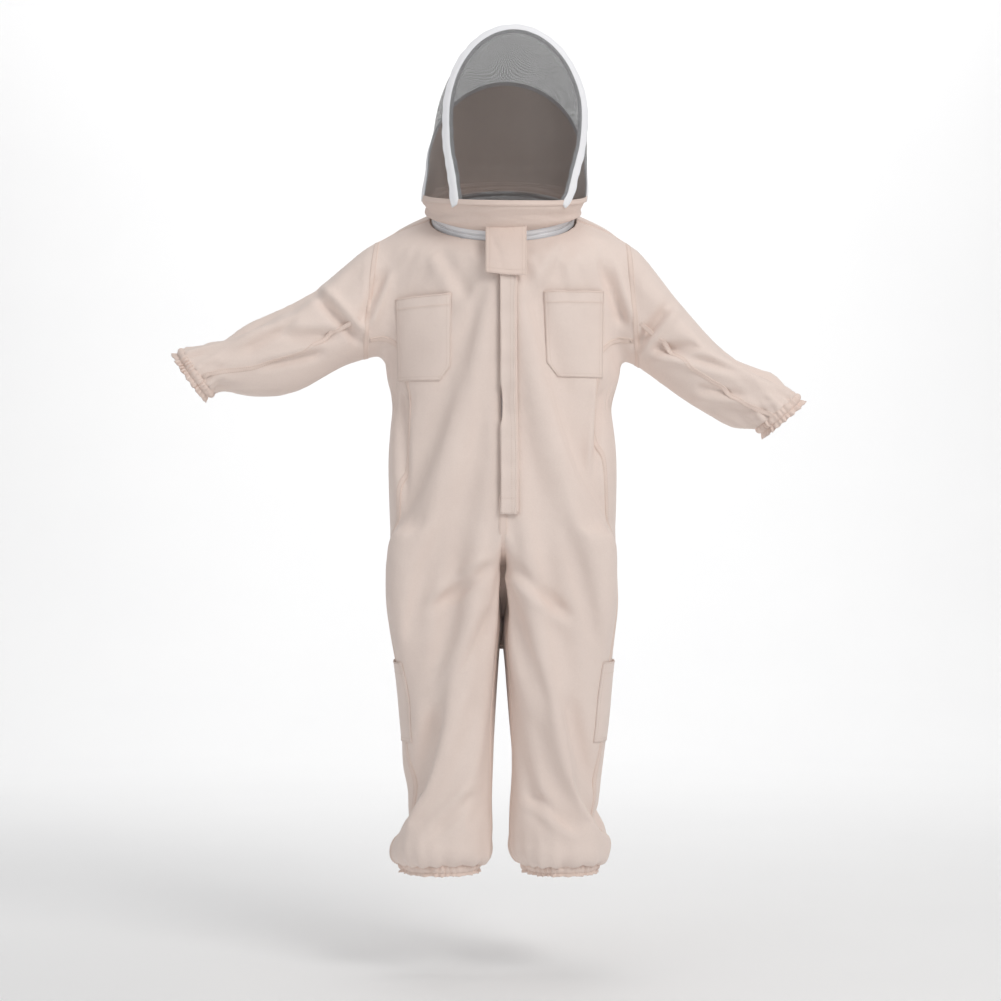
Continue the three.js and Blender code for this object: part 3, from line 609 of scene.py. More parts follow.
def split_panels(obj):
    bm = bmesh.new()
    bm.from_mesh(obj.data)
    for side in (1, -1):
        point, normal = arm_plane(side)
        cut(bm, point, normal, False, lambda c: c.x * side > 0.2 and c.z > -0.34)
    top = SEAM_TURN_Z - float(seam_y(SEAM_TURN_Z)) / SEAM_RISE
    cut(bm, (0, 0, 0), (0, 1, 0), False, lambda c: c.z > top - 0.012 and abs(c.x) < 0.27)
    lean = Vector((0, 1, -SEAM_RISE))
    point = (0, float(seam_y(SEAM_TURN_Z)), SEAM_TURN_Z)
    cut(bm, point, lean, False, lambda c: SEAM_TURN_Z - 0.012 < c.z < top + 0.012 and abs(c.x) < 0.275)
    cut(bm, (0, SIDE_SEAM_Y, WAIST), Vector((0, 1, SEAM_SLOPE)), False, lambda c: c.z < SEAM_TURN_Z + 0.012 and abs(c.x) < 0.275)
    names = {}
    for f in bm.faces:
        c = f.calc_center_median()
        side = 1 if c.x > 0 else -1
        hand = "left" if side > 0 else "right"
        point, normal = arm_plane(side)
        if (c - point).dot(normal) > 0 and c.z > -0.5:
            key = "sleeve_cloth_" + hand
        elif c.y < float(seam_y(c.z)):
            key = "front_cloth_" + hand
        else:
            key = "back_cloth_" + hand
        names.setdefault(key, []).append(f.index)
    bm.faces.ensure_lookup_table()
    made = {}
    for key, faces in names.items():
        used, polys = {}, []
        for i in faces:
            q = []
            for v in bm.faces[i].verts:
                q.append(used.setdefault(v, len(used)))
            polys.append(q)
        made[key] = make(key, [tuple(v.co) for v in used], polys)
    bm.free()
    return made


panels = split_panels(cloth)
drop(cloth)
print("PANELS", {k: len(o.data.vertices) for k, o in panels.items()})


# ---------------------------------------------------------------- materials
def node_material(name):
    m = bpy.data.materials.new(name)
    m.use_nodes = True
    tree = m.node_tree
    tree.nodes.clear()
    out = tree.nodes.new("ShaderNodeOutputMaterial")
    shader = tree.nodes.new("ShaderNodeBsdfPrincipled")
    tree.links.new(shader.outputs[0], out.inputs[0])
    return m, tree, shader, out


def srgb(r, g, b):
    def f(c):
        c /= 255
        return c / 12.92 if c <= 0.04045 else ((c + 0.055) / 1.055) ** 2.4
    return (f(r), f(g), f(b), 1)


def math_node(tree, op, a, b=None):
    n = tree.nodes.new("ShaderNodeMath")
    n.operation = op
    for i, v in enumerate((a, b)):
        if v is None:
            continue
        if isinstance(v, (int, float)):
            n.inputs[i].default_value = v
        else:
            tree.links.new(v, n.inputs[i])
    return n.outputs[0]


def noise_node(tree, vector, scale, detail=3.0, rough=0.5):
    n = tree.nodes.new("ShaderNodeTexNoise")
    n.inputs["Scale"].default_value = scale
    n.inputs["Detail"].default_value = detail
    n.inputs["Roughness"].default_value = rough
    tree.links.new(vector, n.inputs["Vector"])
    return n.outputs[0]


def woven(name, light, dark, rough=0.9, pitch=0.0009, weave=0.35, crumple=0.5, slub=0.5, sheen=0.25, strong=0.5):
    """Twill or plain cloth: ribs of yarn, slubs, slight unevenness of dye, and soft creases."""
    m, tree, shader, _ = node_material(name)
    where = tree.nodes.new("ShaderNodeTexCoord").outputs["Object"]
    split = tree.nodes.new("ShaderNodeSeparateXYZ")
    tree.links.new(where, split.inputs[0])
    across = math_node(tree, "ADD", split.outputs[0], split.outputs[1])
    rib = math_node(tree, "ADD", across, split.outputs[2])
    rib = math_node(tree, "MULTIPLY", rib, 2 * math.pi / pitch)
    rib = math_node(tree, "SINE", rib)
    cross = math_node(tree, "SUBTRACT", across, split.outputs[2])
    cross = math_node(tree, "MULTIPLY", cross, 2 * math.pi / (pitch * 1.3))
    cross = math_node(tree, "SINE", cross)
    yarn = math_node(tree, "MULTIPLY", rib, cross)
    yarn = math_node(tree, "ADD", math_node(tree, "MULTIPLY", rib, 0.7), math_node(tree, "MULTIPLY", yarn, 0.3))
    blotch = noise_node(tree, where, 7, 4, 0.6)
    slubs = noise_node(tree, where, 420, 2, 0.6)
    creased = noise_node(tree, where, 55, 5, 0.55)
    mix = tree.nodes.new("ShaderNodeMixRGB")
    mix.inputs[1].default_value = dark
    mix.inputs[2].default_value = light
    tone = math_node(tree, "MULTIPLY", blotch, 0.9)
    tone = math_node(tree, "ADD", tone, math_node(tree, "MULTIPLY", slubs, slub))
    tone = math_node(tree, "ADD", tone, math_node(tree, "MULTIPLY", yarn, 0.10))
    tree.links.new(tone, mix.inputs[0])
    tree.links.new(mix.outputs[0], shader.inputs["Base Color"])
    ruf = math_node(tree, "ADD", math_node(tree, "MULTIPLY", slubs, 0.14), rough - 0.08)
    tree.links.new(ruf, shader.inputs["Roughness"])
    shader.inputs["Sheen Weight"].default_value = sheen
    shader.inputs["Sheen Roughness"].default_value = 0.5
    shader.inputs["Specular IOR Level"].default_value = 0.25
    high = math_node(tree, "MULTIPLY", yarn, weave * 0.00009)
    high = math_node(tree, "ADD", high, math_node(tree, "MULTIPLY", slubs, 0.00016))
    high = math_node(tree, "ADD", high, math_node(tree, "MULTIPLY", creased, crumple * 0.0026))
    bump = tree.nodes.new("ShaderNodeBump")
    bump.inputs["Strength"].default_value = strong
    bump.inputs["Distance"].default_value = 1.0
    tree.links.new(high, bump.inputs["Height"])
    tree.links.new(bump.outputs[0], shader.inputs["Normal"])
    return m


def net(name, pitch=0.0021, thread=0.155):
    """Black tulle: crossed threads with open holes between them."""
    m, tree, shader, out = node_material(name)
    uv = tree.nodes.new("ShaderNodeTexCoord").outputs["UV"]
    split = tree.nodes.new("ShaderNodeSeparateXYZ")
    tree.links.new(uv, split.inputs[0])
    a = math_node(tree, "ADD", split.outputs[0], split.outputs[1])
    b = math_node(tree, "SUBTRACT", split.outputs[0], split.outputs[1])
    marks = []
    for v in (a, b):
        v = math_node(tree, "MULTIPLY", v, 1 / pitch)
        v = math_node(tree, "PINGPONG", v, 0.5)
        marks.append(math_node(tree, "LESS_THAN", v, thread))
    mask = math_node(tree, "MAXIMUM", marks[0], marks[1])
    clear = tree.nodes.new("ShaderNodeBsdfTransparent")
    mix = tree.nodes.new("ShaderNodeMixShader")
    tree.links.new(mask, mix.inputs[0])
    tree.links.new(clear.outputs[0], mix.inputs[1])
    tree.links.new(shader.outputs[0], mix.inputs[2])
    tree.links.new(mix.outputs[0], out.inputs[0])
    fuzz = noise_node(tree, uv, 900, 2)
    ramp = tree.nodes.new("ShaderNodeMixRGB")
    ramp.inputs[1].default_value = (0.006, 0.006, 0.007, 1)
    ramp.inputs[2].default_value = (0.030, 0.029, 0.031, 1)
    tree.links.new(fuzz, ramp.inputs[0])
    tree.links.new(ramp.outputs[0], shader.inputs["Base Color"])
    shader.inputs["Roughness"].default_value = 0.62
    shader.inputs["Sheen Weight"].default_value = 0.2
    return m


def metal(name, colour, rough=0.28):
    m, tree, shader, _ = node_material(name)
    where = tree.nodes.new("ShaderNodeTexCoord").outputs["Object"]
    scratch = noise_node(tree, where, 900, 4)
    smear = noise_node(tree, where, 120, 3)
    shader.inputs["Base Color"].default_value = colour
    shader.inputs["Metallic"].default_value = 1
    tree.links.new(math_node(tree, "ADD", math_node(tree, "MULTIPLY", smear, 0.25), rough - 0.1), shader.inputs["Roughness"])
    bump = tree.nodes.new("ShaderNodeBump")
    bump.inputs["Strength"].default_value = 0.15
    bump.inputs["Distance"].default_value = 0.0001
    tree.links.new(scratch, bump.inputs["Height"])
    tree.links.new(bump.outputs[0], shader.inputs["Normal"])
    return m


COTTON = woven("cotton", srgb(240, 224, 215), srgb(222, 204, 195), sheen=0.2)
HEMS = woven("cotton_hem", srgb(239, 220, 210), srgb(219, 199, 188), crumple=0.8, sheen=0.2)
THREAD = woven("thread", srgb(228, 210, 199), srgb(204, 185, 172), pitch=0.0006, crumple=0.1, sheen=0.3)
TAPE = woven("white_tape", srgb(250, 250, 252), srgb(236, 237, 242), pitch=0.0012, weave=0.8, crumple=0.25, slub=0.3)
WHITE_THREAD = woven("white_thread", srgb(240, 240, 244), srgb(216, 217, 224), pitch=0.0006, crumple=0.1)
TEETH = woven("nylon", srgb(244, 244, 246), srgb(228, 229, 233), rough=0.45, crumple=0.05, slub=0.1, sheen=0.0)
LOOP = woven("loop_tape", srgb(240, 236, 228), srgb(214, 208, 198), pitch=0.0016, weave=3, crumple=0.9, slub=1.0)
ELASTIC = woven("elastic", srgb(242, 240, 234), srgb(220, 216, 208), pitch=0.0022, weave=2.5, crumple=0.2)
NET = net("veil_net")
NICKEL = metal("nickel", (0.62, 0.63, 0.65, 1))
STEEL = metal("spring_steel", (0.5, 0.52, 0.54, 1), 0.35)


def dress(obj, material):
    obj.data.materials.clear()
    obj.data.materials.append(material)
    return obj


def thicken(obj, amount=WALL, offset=-1.0):
    mod = obj.modifiers.new("cloth_thickness", "SOLIDIFY")
    mod.thickness = amount
    mod.offset = offset
    return obj


# ---------------------------------------------------------------- strips, tubes and stitches
def resample(points, step, closed=False):
    p = np.asarray(points, float)
    if closed:
        p = np.vstack([p, p[:1]])
    seg = np.linalg.norm(np.diff(p, axis=0), axis=1)
    run = np.concatenate([[0], np.cumsum(seg)])
    count = max(3, int(run[-1] / step) + 1)
    at = np.linspace(0, run[-1], count)
    q = np.stack([np.interp(at, run, p[:, k]) for k in range(3)], -1)
    return q[:-1] if closed else q


def eased(points, times=2, closed=False):
    p = np.array(points, float)
    for _ in range(times):
        if closed:
            p = 0.25 * np.roll(p, 1, 0) + 0.5 * p + 0.25 * np.roll(p, -1, 0)
        else:
            p[1:-1] = 0.25 * p[:-2] + 0.5 * p[1:-1] + 0.25 * p[2:]
    return p


def onto(points, tree=None, lift=0.0):
    """Nearest points of the cloth, with its outward normals."""
    out_p, out_n = [], []
    for q in points:
        hit, n, _, _ = (tree or surface).find_nearest(Vector(q))
        out_p.append(np.array(hit) + np.array(n) * lift)
        out_n.append(np.array(n))
    return np.array(out_p), np.array(out_n)


def frames(points, up, closed=False):
    """Tangent, across and up vectors along a path."""
    if closed:
        t = np.roll(points, -1, 0) - np.roll(points, 1, 0)
    else:
        t = np.gradient(points, axis=0)
    t /= np.linalg.norm(t, axis=1)[:, None] + 1e-12
    a = np.cross(t, up)
    a /= np.linalg.norm(a, axis=1)[:, None] + 1e-12
    u = np.cross(a, t)
    return t, a, u


def sweep(points, up, profile, closed=False, scale=None):
    """Mesh data of a closed profile of (across, up) carried along a path."""
    points = np.asarray(points)
    _, a, u = frames(points, up, closed)
    prof = np.asarray(profile)
    k = np.ones(len(points)) if scale is None else scale
    co = points[:, None, :] + (a[:, None, :] * prof[None, :, :1] + u[:, None, :] * prof[None, :, 1:]) * k[:, None, None]
    n, m = len(points), len(prof)
    co = co.reshape(-1, 3)
    faces = []
    for r in range(n if closed else n - 1):
        for c in range(m):
            p0, p1 = r * m + c, r * m + (c + 1) % m
            q0, q1 = ((r + 1) % n) * m + c, ((r + 1) % n) * m + (c + 1) % m
            faces.append((p0, q0, q1, p1))
    if not closed:
        faces.append(tuple(range(m)))
        faces.append(tuple(range((n - 1) * m, n * m))[::-1])
    return co, faces


def soft_strip(half, thick, sink=0.0006, crown=1.0):
    """Rounded cross-section of a seam or tape."""
    return [
        (-half, -sink), (-half, thick * 0.35), (-half * 0.86, thick * 0.85), (-half * 0.5, thick * crown),
        (0, thick * crown), (half * 0.5, thick * crown), (half * 0.86, thick * 0.85), (half, thick * 0.35), (half, -sink),
    ]


def bundle(name, parts, material):
    base, co, faces = 0, [], []
    for c, f in parts:
        co.append(np.asarray(c))
        if isinstance(f, np.ndarray):
            faces += (f + base).tolist()
        else:
            faces += [tuple(i + base for i in q) for q in f]
        base += len(c)
    obj = dress(make(name, np.concatenate(co), faces), material)
    return obj


STITCH_T = np.array([0, 0.25, 0.75, 1.0])
STITCH_R = np.array([0.35, 1.0, 1.0, 0.35])
STITCH_RING = np.array([(math.cos(k * math.pi / 2.5), math.sin(k * math.pi / 2.5)) for k in range(5)])
STITCH_FACES = np.array(grid_faces(4, 5, closed=True))


def stitch_parts(points, up, offset=0.0, pitch=0.0042, length=0.0030, radius=0.00042, lift=0.0, closed=False):
    """A row of single stitches beside a path, as one part."""
    p = resample(points, 0.002, closed)
    q = np.asarray(points)
    near = np.array([np.argmin(((q - r) ** 2).sum(1)) for r in p])
    n = np.asarray(up)[near]
    _, a, u = frames(p, n, closed)
    line = p + a * offset + u * lift
    run = np.concatenate([[0], np.cumsum(np.linalg.norm(np.diff(line, axis=0), axis=1))])
    starts = np.arange(0.002, run[-1] - length, pitch)
    if not len(starts):
        return []
    at = starts[:, None] + STITCH_T[None, :] * length
    c = np.stack([np.interp(at, run, line[:, k]) for k in range(3)], -1)
    i = np.minimum(np.searchsorted(run, at), len(line) - 1)
    dip = np.where(STITCH_R < 0.5, -0.0004, 0.0)
    across = a[i][:, :, None, :] * (STITCH_RING[:, 0] * radius)[None, None, :, None] * STITCH_R[None, :, None, None]
    rise = STITCH_RING[None, :, 1] * radius * STITCH_R[:, None] + dip[:, None]
    co = c[:, :, None, :] + across + u[i][:, :, None, :] * rise[None, :, :, None]
    faces = (STITCH_FACES[None] + (np.arange(len(starts)) * 20)[:, None, None]).reshape(-1, 4)
    return [(co.reshape(-1, 3), faces)]


# ---------------------------------------------------------------- panels dressed, thickened and baked in place
def to_leg(obj):
    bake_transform(obj)
    return obj


def to_arm(obj):
    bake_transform(obj)
    return obj


for side, hand in ((1, "left"), (-1, "right")):
    front, back, sleeve = (panels[k + hand] for k in ("front_cloth_", "back_cloth_", "sleeve_cloth_"))
    for obj in (front, back, sleeve):
        dress(obj, COTTON)
        thicken(obj)
    to_leg(front)
    to_leg(back)
    to_arm(sleeve)
    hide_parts("front_panel_" + hand, "leg_front_" + hand)
    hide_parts("back_panel_" + hand, "leg_back_" + hand)
    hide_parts("sleeve_head_" + hand, "sleeve_" + hand)


# ---------------------------------------------------------------- seams
def edge_points(obj, pick):
    """Boundary points of a panel that pick() keeps."""
    co = coords(obj)
    return co[boundary(obj) & pick(co)]


def seam(points, half=0.0052, thick=0.0011, rows=(0.0035, -0.0035), closed=False, step=0.006, ease=4):
    pts = eased(resample(points, step, closed), ease, closed)
    pts, n = onto(pts)
    n = eased(n, 3, closed)
    pts = eased(pts, 1, closed)
    parts = [sweep(pts, n, soft_strip(half, thick), closed)]
    threads = []
    for r in rows:
        threads += stitch_parts(pts, n, r, lift=thick + 0.0001, closed=closed)
    return parts, threads


for side, hand in ((1, "left"), (-1, "right")):
    front, back, sleeve = (panels[k + hand] for k in ("front_cloth_", "back_cloth_", "sleeve_cloth_"))
    # side seam from the armpit to the ankle, on the outer and on the inner leg
    p = edge_points(front, lambda c: (np.abs(c[:, 1] - seam_y(c[:, 2])) < 0.0022) & (c[:, 2] < -0.19))
    mid = np.where(side * p[:, 0] > 0.112, 1, 0)
    lines = []
    outer = p[(mid == 1)]
    lines.append(outer[np.argsort(-outer[:, 2])])
    inner = p[(mid == 0) & (p[:, 2] < CROTCH)]
    if len(inner) > 8:
        lines.append(inner[np.argsort(-inner[:, 2])])
    parts, threads = [], []
    for line in lines:
        a, b = seam(line)
        parts += a
        threads += b
    obj = to_leg(bundle("side_seam_" + hand, parts, HEMS))
    to_leg(bundle("side_seam_stitching_" + hand, threads, THREAD))
    # armhole seam
    point, normal = arm_plane(side)
    p = edge_points(sleeve, lambda c: np.abs((c - np.array(point)) @ np.array(normal)) < 0.0015)
    mid = p.mean(0)
    p = p[np.argsort(np.arctan2(p[:, 1] - mid[1], p[:, 2] - mid[2]))]
    parts, threads = seam(p, closed=True)
    to_arm(bundle("armhole_seam_" + hand, parts, HEMS))
    to_arm(bundle("armhole_stitching_" + hand, threads, THREAD))
    # shoulder seam
    p = edge_points(front, lambda c: (np.abs(c[:, 1]) < 0.0015) & (c[:, 2] > -0.13))
    if len(p) > 6:
        p = p[np.argsort(np.abs(p[:, 0]))]
        parts, threads = seam(p)
        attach(bundle("shoulder_seam_" + hand, parts, HEMS), "suit")
        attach(bundle("shoulder_stitching_" + hand, threads, THREAD), "suit")
    # seam along the sleeve, low on its front
    line = []
    for place in np.linspace(2.6, CUFF_PLACE - 0.9, 40):
        turn = (1.95 if side < 0 else -1.95)
        line.append(sleeve_points(side, [place], np.array([-turn if side > 0 else -turn]))[0])
    line = np.array(line)
    parts, threads = seam(line, half=0.0045, rows=(0.003, -0.003), step=0.008, ease=8)
    to_arm(bundle("sleeve_seam_" + hand, parts, HEMS))
    to_arm(bundle("sleeve_stitching_" + hand, threads, THREAD))

# centre seams: front below the zip, and the whole back down to the crotch
co = np.concatenate([coords(panels[k]) for k in ("front_cloth_left", "front_cloth_right")])
edge = np.concatenate([boundary(panels[k]) for k in ("front_cloth_left", "front_cloth_right")])
mid = co[edge & (np.abs(co[:, 0]) < 0.006)]
low = mid[(mid[:, 2] < -0.545)]
low = low[np.argsort(-low[:, 2])]
co = np.concatenate([coords(panels[k]) for k in ("back_cloth_left", "back_cloth_right")])
edge = np.concatenate([boundary(panels[k]) for k in ("back_cloth_left", "back_cloth_right")])
rear = co[edge & (np.abs(co[:, 0]) < 0.006)]
rear = rear[np.argsort(-rear[:, 2])]
parts, threads = [], []
for line in (low, rear):
    line = line.copy()
    line[:, 0] = 0
    pts = eased(resample(line, 0.006), 6)
    up = np.gradient(pts, axis=0)
    n = np.stack([np.zeros(len(up)), -up[:, 2], up[:, 1]], -1)
    n /= np.linalg.norm(n, axis=1)[:, None]
    n *= np.sign((n * (pts - np.array([0, 0, -0.4])))[:, 1])[:, None]
    n[:, 2] = np.where(pts[:, 2] < -0.6, -np.abs(n[:, 2]), n[:, 2])
    parts.append(sweep(pts, n, soft_strip(0.0078, 0.0014, 0.0012)))
    for r in (0.0052, -0.0052):
        threads += stitch_parts(pts, n, r, lift=0.0014)
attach(bundle("centre_seam", parts, HEMS), "suit")
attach(bundle("centre_stitching", threads, THREAD), "suit")


# ---------------------------------------------------------------- hems with elastic
def gathered_ring(name, centre_points, up_dir, height, lip, periods, seed):
    """A hem casing drawn in by elastic, with a small free ruffle under it."""
    pts = np.asarray(centre_points)
    n = len(pts)
    mid = pts.mean(0)
    way = np.asarray(up_dir)
    rel = pts - mid
    radial = rel - np.outer(rel @ way, way)
    radial /= np.linalg.norm(radial, axis=1)[:, None]
    a = np.arange(n) / n * 2 * np.pi
    wob = np.sin(a * periods + 2.6 * np.sin(a * 3 + seed) + 1.7 * np.sin(a * 7 + 2 * seed)) * (0.75 + 0.35 * np.sin(a * 5 + seed))
    wob2 = np.sin(a * periods * 0.5 + 2.2 * np.sin(a * 2 + seed))
    levels = np.linspace(0, 1, 15)
    loops = []
    for t in levels:
        puff = math.sin(math.pi * min(t / 0.72, 1)) * 0.0034 if t < 0.72 else 0
        pinch = -0.0016 * math.exp(-((t - 0.72) / 0.07) ** 2) - 0.0010 * math.exp(-((t - 0.04) / 0.05) ** 2)
        flare = max(0, (t - 0.76) / 0.24)
        amp = 0.0011 + 0.0012 * math.sin(math.pi * min(t / 0.72, 1)) + 0.0034 * flare
        r = puff + pinch + amp * wob + 0.0009 * wob2 + lip * 0.30 * flare
        drop = height * min(t / 0.76, 1) + lip * flare * (1 + 0.12 * wob2)
        loops.append(pts + radial * (r[:, None]) - np.outer(drop, way))
    co = np.concatenate(loops)
    obj = dress(make(name, co, grid_faces(len(levels), n, closed=True, flip=True)), HEMS)
    thicken(obj, 0.0016, 0)
    stitched = []
    for t in (10, 1):
        line = loops[t] + radial * 0.0009
        stitched += stitch_parts(line, radial, closed=True, pitch=0.0045, lift=0.0003)
    return obj, stitched, loops


for side, hand in ((1, "left"), (-1, "right")):
    leg_panels = np.concatenate([coords(panels[k + hand])[boundary(panels[k + hand])] for k in ("front_cloth_", "back_cloth_")])
    ring = leg_panels[np.abs(leg_panels[:, 2] - (HEM + ANKLE_HEM)) < 0.0015]
    mid = (ring.min(0) + ring.max(0)) / 2
    a = np.arctan2(ring[:, 1] - mid[1], ring[:, 0] - mid[0])
    order = np.argsort(a)
    a, ring = a[order], ring[order]
    wide = np.linspace(-np.pi, np.pi, 420, endpoint=False)
    loop = np.stack([np.interp(wide, a, ring[:, k], period=2 * np.pi) for k in range(3)], -1)
    loop = eased(loop, 6, True)
    loop[:, 2] = HEM + ANKLE_HEM + 0.002
    inset = loop - mid
    inset[:, 2] = 0
    loop = loop - inset / np.linalg.norm(inset, axis=1)[:, None] * 0.0015
    hem, threads, _ = gathered_ring("ankle_hem_cloth_" + hand, loop, (0, 0, 1), 0.018, 0.005, 40, 1 + side)
    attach(hem, "leg_" + hand)
    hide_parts("ankle_hem_" + hand, "ankle_elastic_" + hand)
    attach(bundle("ankle_stitching_" + hand, threads, THREAD), "leg_" + hand)

    middle, way = cuff_frame(side)
    way = np.array(way)
    base = np.array(middle) - way * CUFF_HEM
    c = coords(panels["sleeve_cloth_" + hand])
    ring = c[boundary(panels["sleeve_cloth_" + hand]) & (np.abs((c - base) @ way) < 0.002)]
    mid = (ring.min(0) + ring.max(0)) / 2
    across = np.cross(way, [0, 1, 0])
    deep = np.cross(across, way)
    a = np.arctan2((ring - mid) @ deep, (ring - mid) @ across)
    order = np.argsort(a)
    a, ring = a[order], ring[order]
    loop = np.stack([np.interp(wide, a, ring[:, k], period=2 * np.pi) for k in range(3)], -1)
    loop = eased(loop, 6, True) - way * 0.002
    inset = loop - mid
    loop = loop - inset / np.linalg.norm(inset, axis=1)[:, None] * 0.0012
    hem, threads, _ = gathered_ring("cuff_cloth_" + hand, loop, -way, 0.016, 0.009, 34, 3 + side)
    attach(hem, "arm_" + hand)
    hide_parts("cuff_hem_" + hand, "cuff_elastic_" + hand)
    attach(bundle("cuff_stitching_" + hand, threads, THREAD), "arm_" + hand)


# ---------------------------------------------------------------- pieces laid on the front
CENTRE_EDGE = 0.0085


def on_front(x, z, lift=0.0):
    """Point of the cloth straight behind (x, z), and its normal; level across the zip opening."""
    if abs(x) < CENTRE_EDGE and z > WAIST - 0.22:
        a, na = on_front(-CENTRE_EDGE, z, lift)
        b, nb = on_front(CENTRE_EDGE, z, lift)
        t = (x + CENTRE_EDGE) / (2 * CENTRE_EDGE)
        n = na * (1 - t) + nb * t
        return a * (1 - t) + b * t, n / np.linalg.norm(n)
    hit, n, _, _ = surface.ray_cast(Vector((x, -0.5, z)), Vector((0, 1, 0)))
    if hit is None:
        hit, n, _, _ = surface.find_nearest(Vector((x, -0.15, z)))
    n = np.array(n) * (1 if n.y < 0 else -1)
    return np.array(hit) + n * lift, n


def laid_patch(name, corners, across, down, lift, material=COTTON, thick=0.0013, chamfer=None, smooth_times=3):
    """A cloth patch over the front; corners are (x, z) of its top and bottom edges."""
    (x0, z0), (x1, z1), (x2, z2), (x3, z3) = corners
    pts = np.zeros((down + 1, across + 1, 3))
    nrm = np.zeros_like(pts)
    for j in range(down + 1):
        v = j / down
        for i in range(across + 1):
            u = i / across
            xa, xb = x0 + (x3 - x0) * v, x1 + (x2 - x1) * v
            za, zb = z0 + (z3 - z0) * v, z1 + (z2 - z1) * v
            if chamfer:
                side, size = chamfer
                cutoff = max(0.0, v - (1 - size)) / size
                if side < 0:
                    xb = xb + (xa - xb) * 0.20 * cutoff
                else:
                    xa = xa + (xb - xa) * 0.20 * cutoff
            x, z = xa + (xb - xa) * u, za + (zb - za) * u
            pts[j, i], nrm[j, i] = on_front(x, z)
    for _ in range(smooth_times):
        q = pts.copy()
        q[1:-1, 1:-1] = (pts[:-2, 1:-1] + pts[2:, 1:-1] + pts[1:-1, :-2] + pts[1:-1, 2:]) / 4
        pts = q
    n = nrm.copy()
    for _ in range(4):
        n[1:-1] = (n[:-2] + n[1:-1] * 2 + n[2:]) / 4
        n[:, 1:-1] = (n[:, :-2] + n[:, 1:-1] * 2 + n[:, 2:]) / 4
    n /= np.linalg.norm(n, axis=2)[:, :, None]
    for j in range(down + 1):
        for i in range(across + 1):
            pts[j, i] += n[j, i] * (lift(i / across, j / down) + 0.0012)
    obj = dress(make(name, pts.reshape(-1, 3), grid_faces(down + 1, across + 1)), material)
    flip_if_inward(obj)
    thicken(obj, thick, 0)
    return obj, pts, n


def flip_if_inward(obj):
    """Turns a front patch so that its faces look out of the chest."""
    total = sum((q.normal.y * q.area for q in obj.data.polygons), 0.0)
    if total > 0:
        obj.data.flip_normals()
        obj.data.update()


def edge_stitches(pts, n, lines, thick):
    """Stitches along the patch's edges; a line is (edge, inset)."""
    out = []
    for edge, inset in lines:
        rows, cols = pts.shape[:2]
        width = np.linalg.norm(pts[0, -1] - pts[0, 0])
        height = np.linalg.norm(pts[-1, 0] - pts[0, 0])
        if edge in ("left", "right"):
            f = inset / width * (cols - 1)
            f = f if edge == "left" else cols - 1 - f
            i = int(min(max(f, 0), cols - 2))
            t = f - i
            line = pts[:, i] * (1 - t) + pts[:, i + 1] * t
            up = n[:, i]
        else:
            f = inset / height * (rows - 1)
            f = f if edge == "top" else rows - 1 - f
            j = int(min(max(f, 0), rows - 2))
            t = f - j
            line = pts[j] * (1 - t) + pts[j + 1] * t
            up = n[j]
        out += stitch_parts(line, up, 0.0, lift=thick * 0.6)
    return out


POCKETS = {
    1: [seen(544, 291, -0.152), seen(604, 290, -0.140), seen(603, 377, -0.138), seen(547, 376, -0.150)],
    -1: [seen(395, 298, -0.140), seen(451, 292, -0.152), seen(450, 380, -0.150), seen(397, 380, -0.138)],
}
for side, hand in ((1, "left"), (-1, "right")):
    mouth = 0.0075

    def lift(u, v):
        hem = 0.0008 if v < 0.13 else 0.0
        bulge = mouth * (1 - (2 * u - 1) ** 4) * (1 - v) ** 1.6
        fade = 0.0022 * math.sin(math.pi * u) * math.sin(math.pi * v)
        crease = 0.0012 * math.sin(9 * u + 5 * v + side) * math.sin(math.pi * u) * (1 - v)
        return bulge + hem + fade + crease

    obj, pts, n = laid_patch("chest_pocket_cloth_" + hand, POCKETS[side], 30, 42, lift, chamfer=(side, 0.17), smooth_times=6)
    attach(obj, "suit")
    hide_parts("chest_pocket_" + hand)
    lines = [("left", 0.0018), ("left", 0.0075), ("right", 0.0018), ("right", 0.0075), ("bottom", 0.0018), ("bottom", 0.0075), ("top", 0.0020), ("top", 0.0215)]
    sewn = bundle("chest_pocket_stitching_" + hand, edge_stitches(pts, n, lines, 0.0013), THREAD)
    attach(sewn, "suit")
    lip = sweep(pts[0], n[0], soft_strip(0.0012, 0.0010, 0.0010))
    hem = pts[5]
    parts = [lip, sweep(hem, n[5], soft_strip(0.0009, 0.0009))]
    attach(bundle("chest_pocket_hem_" + hand, parts, HEMS), "suit")

# placket over the zip: sewn on the wearer's left, free on the right
top_x0, top_z = seen(499, 270, -0.156)
top_x1, _ = seen(515, 270, -0.156)
low_x0, low_z = seen(500, 514, -0.156)
low_x1, _ = seen(517, 514, -0.156)


def placket_lift(u, v):
    free = (1 - u) ** 1.5
    wave = 0.0011 * math.sin(v * 23 + 1) * free + 0.0007 * math.sin(v * 61)
    return 0.0064 + 0.0030 * free + wave


obj, pts, n = laid_patch(
    "placket_cloth", [(top_x0, top_z), (top_x1, top_z), (low_x1, low_z), (low_x0, low_z)], 10, 120, placket_lift, thick=0.0020, smooth_times=8
)
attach(obj, "placket")
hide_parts("placket")
parts = edge_stitches(pts, n, [("right", 0.0020), ("right", 0.0080), ("left", 0.0026), ("bottom", 0.0030), ("bottom", 0.0300)], 0.0020)
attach(bundle("placket_stitching", parts, THREAD), "placket")
hinge = np.array([pts[j, -1] for j in range(0, 121, 2)])
hinge_n = np.array([n[j, -1] for j in range(0, 121, 2)])
root = sweep(hinge - hinge_n * 0.0022, hinge_n, soft_strip(0.0040, 0.0030, 0.0030))
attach(bundle("placket_root", [root], HEMS), "suit")

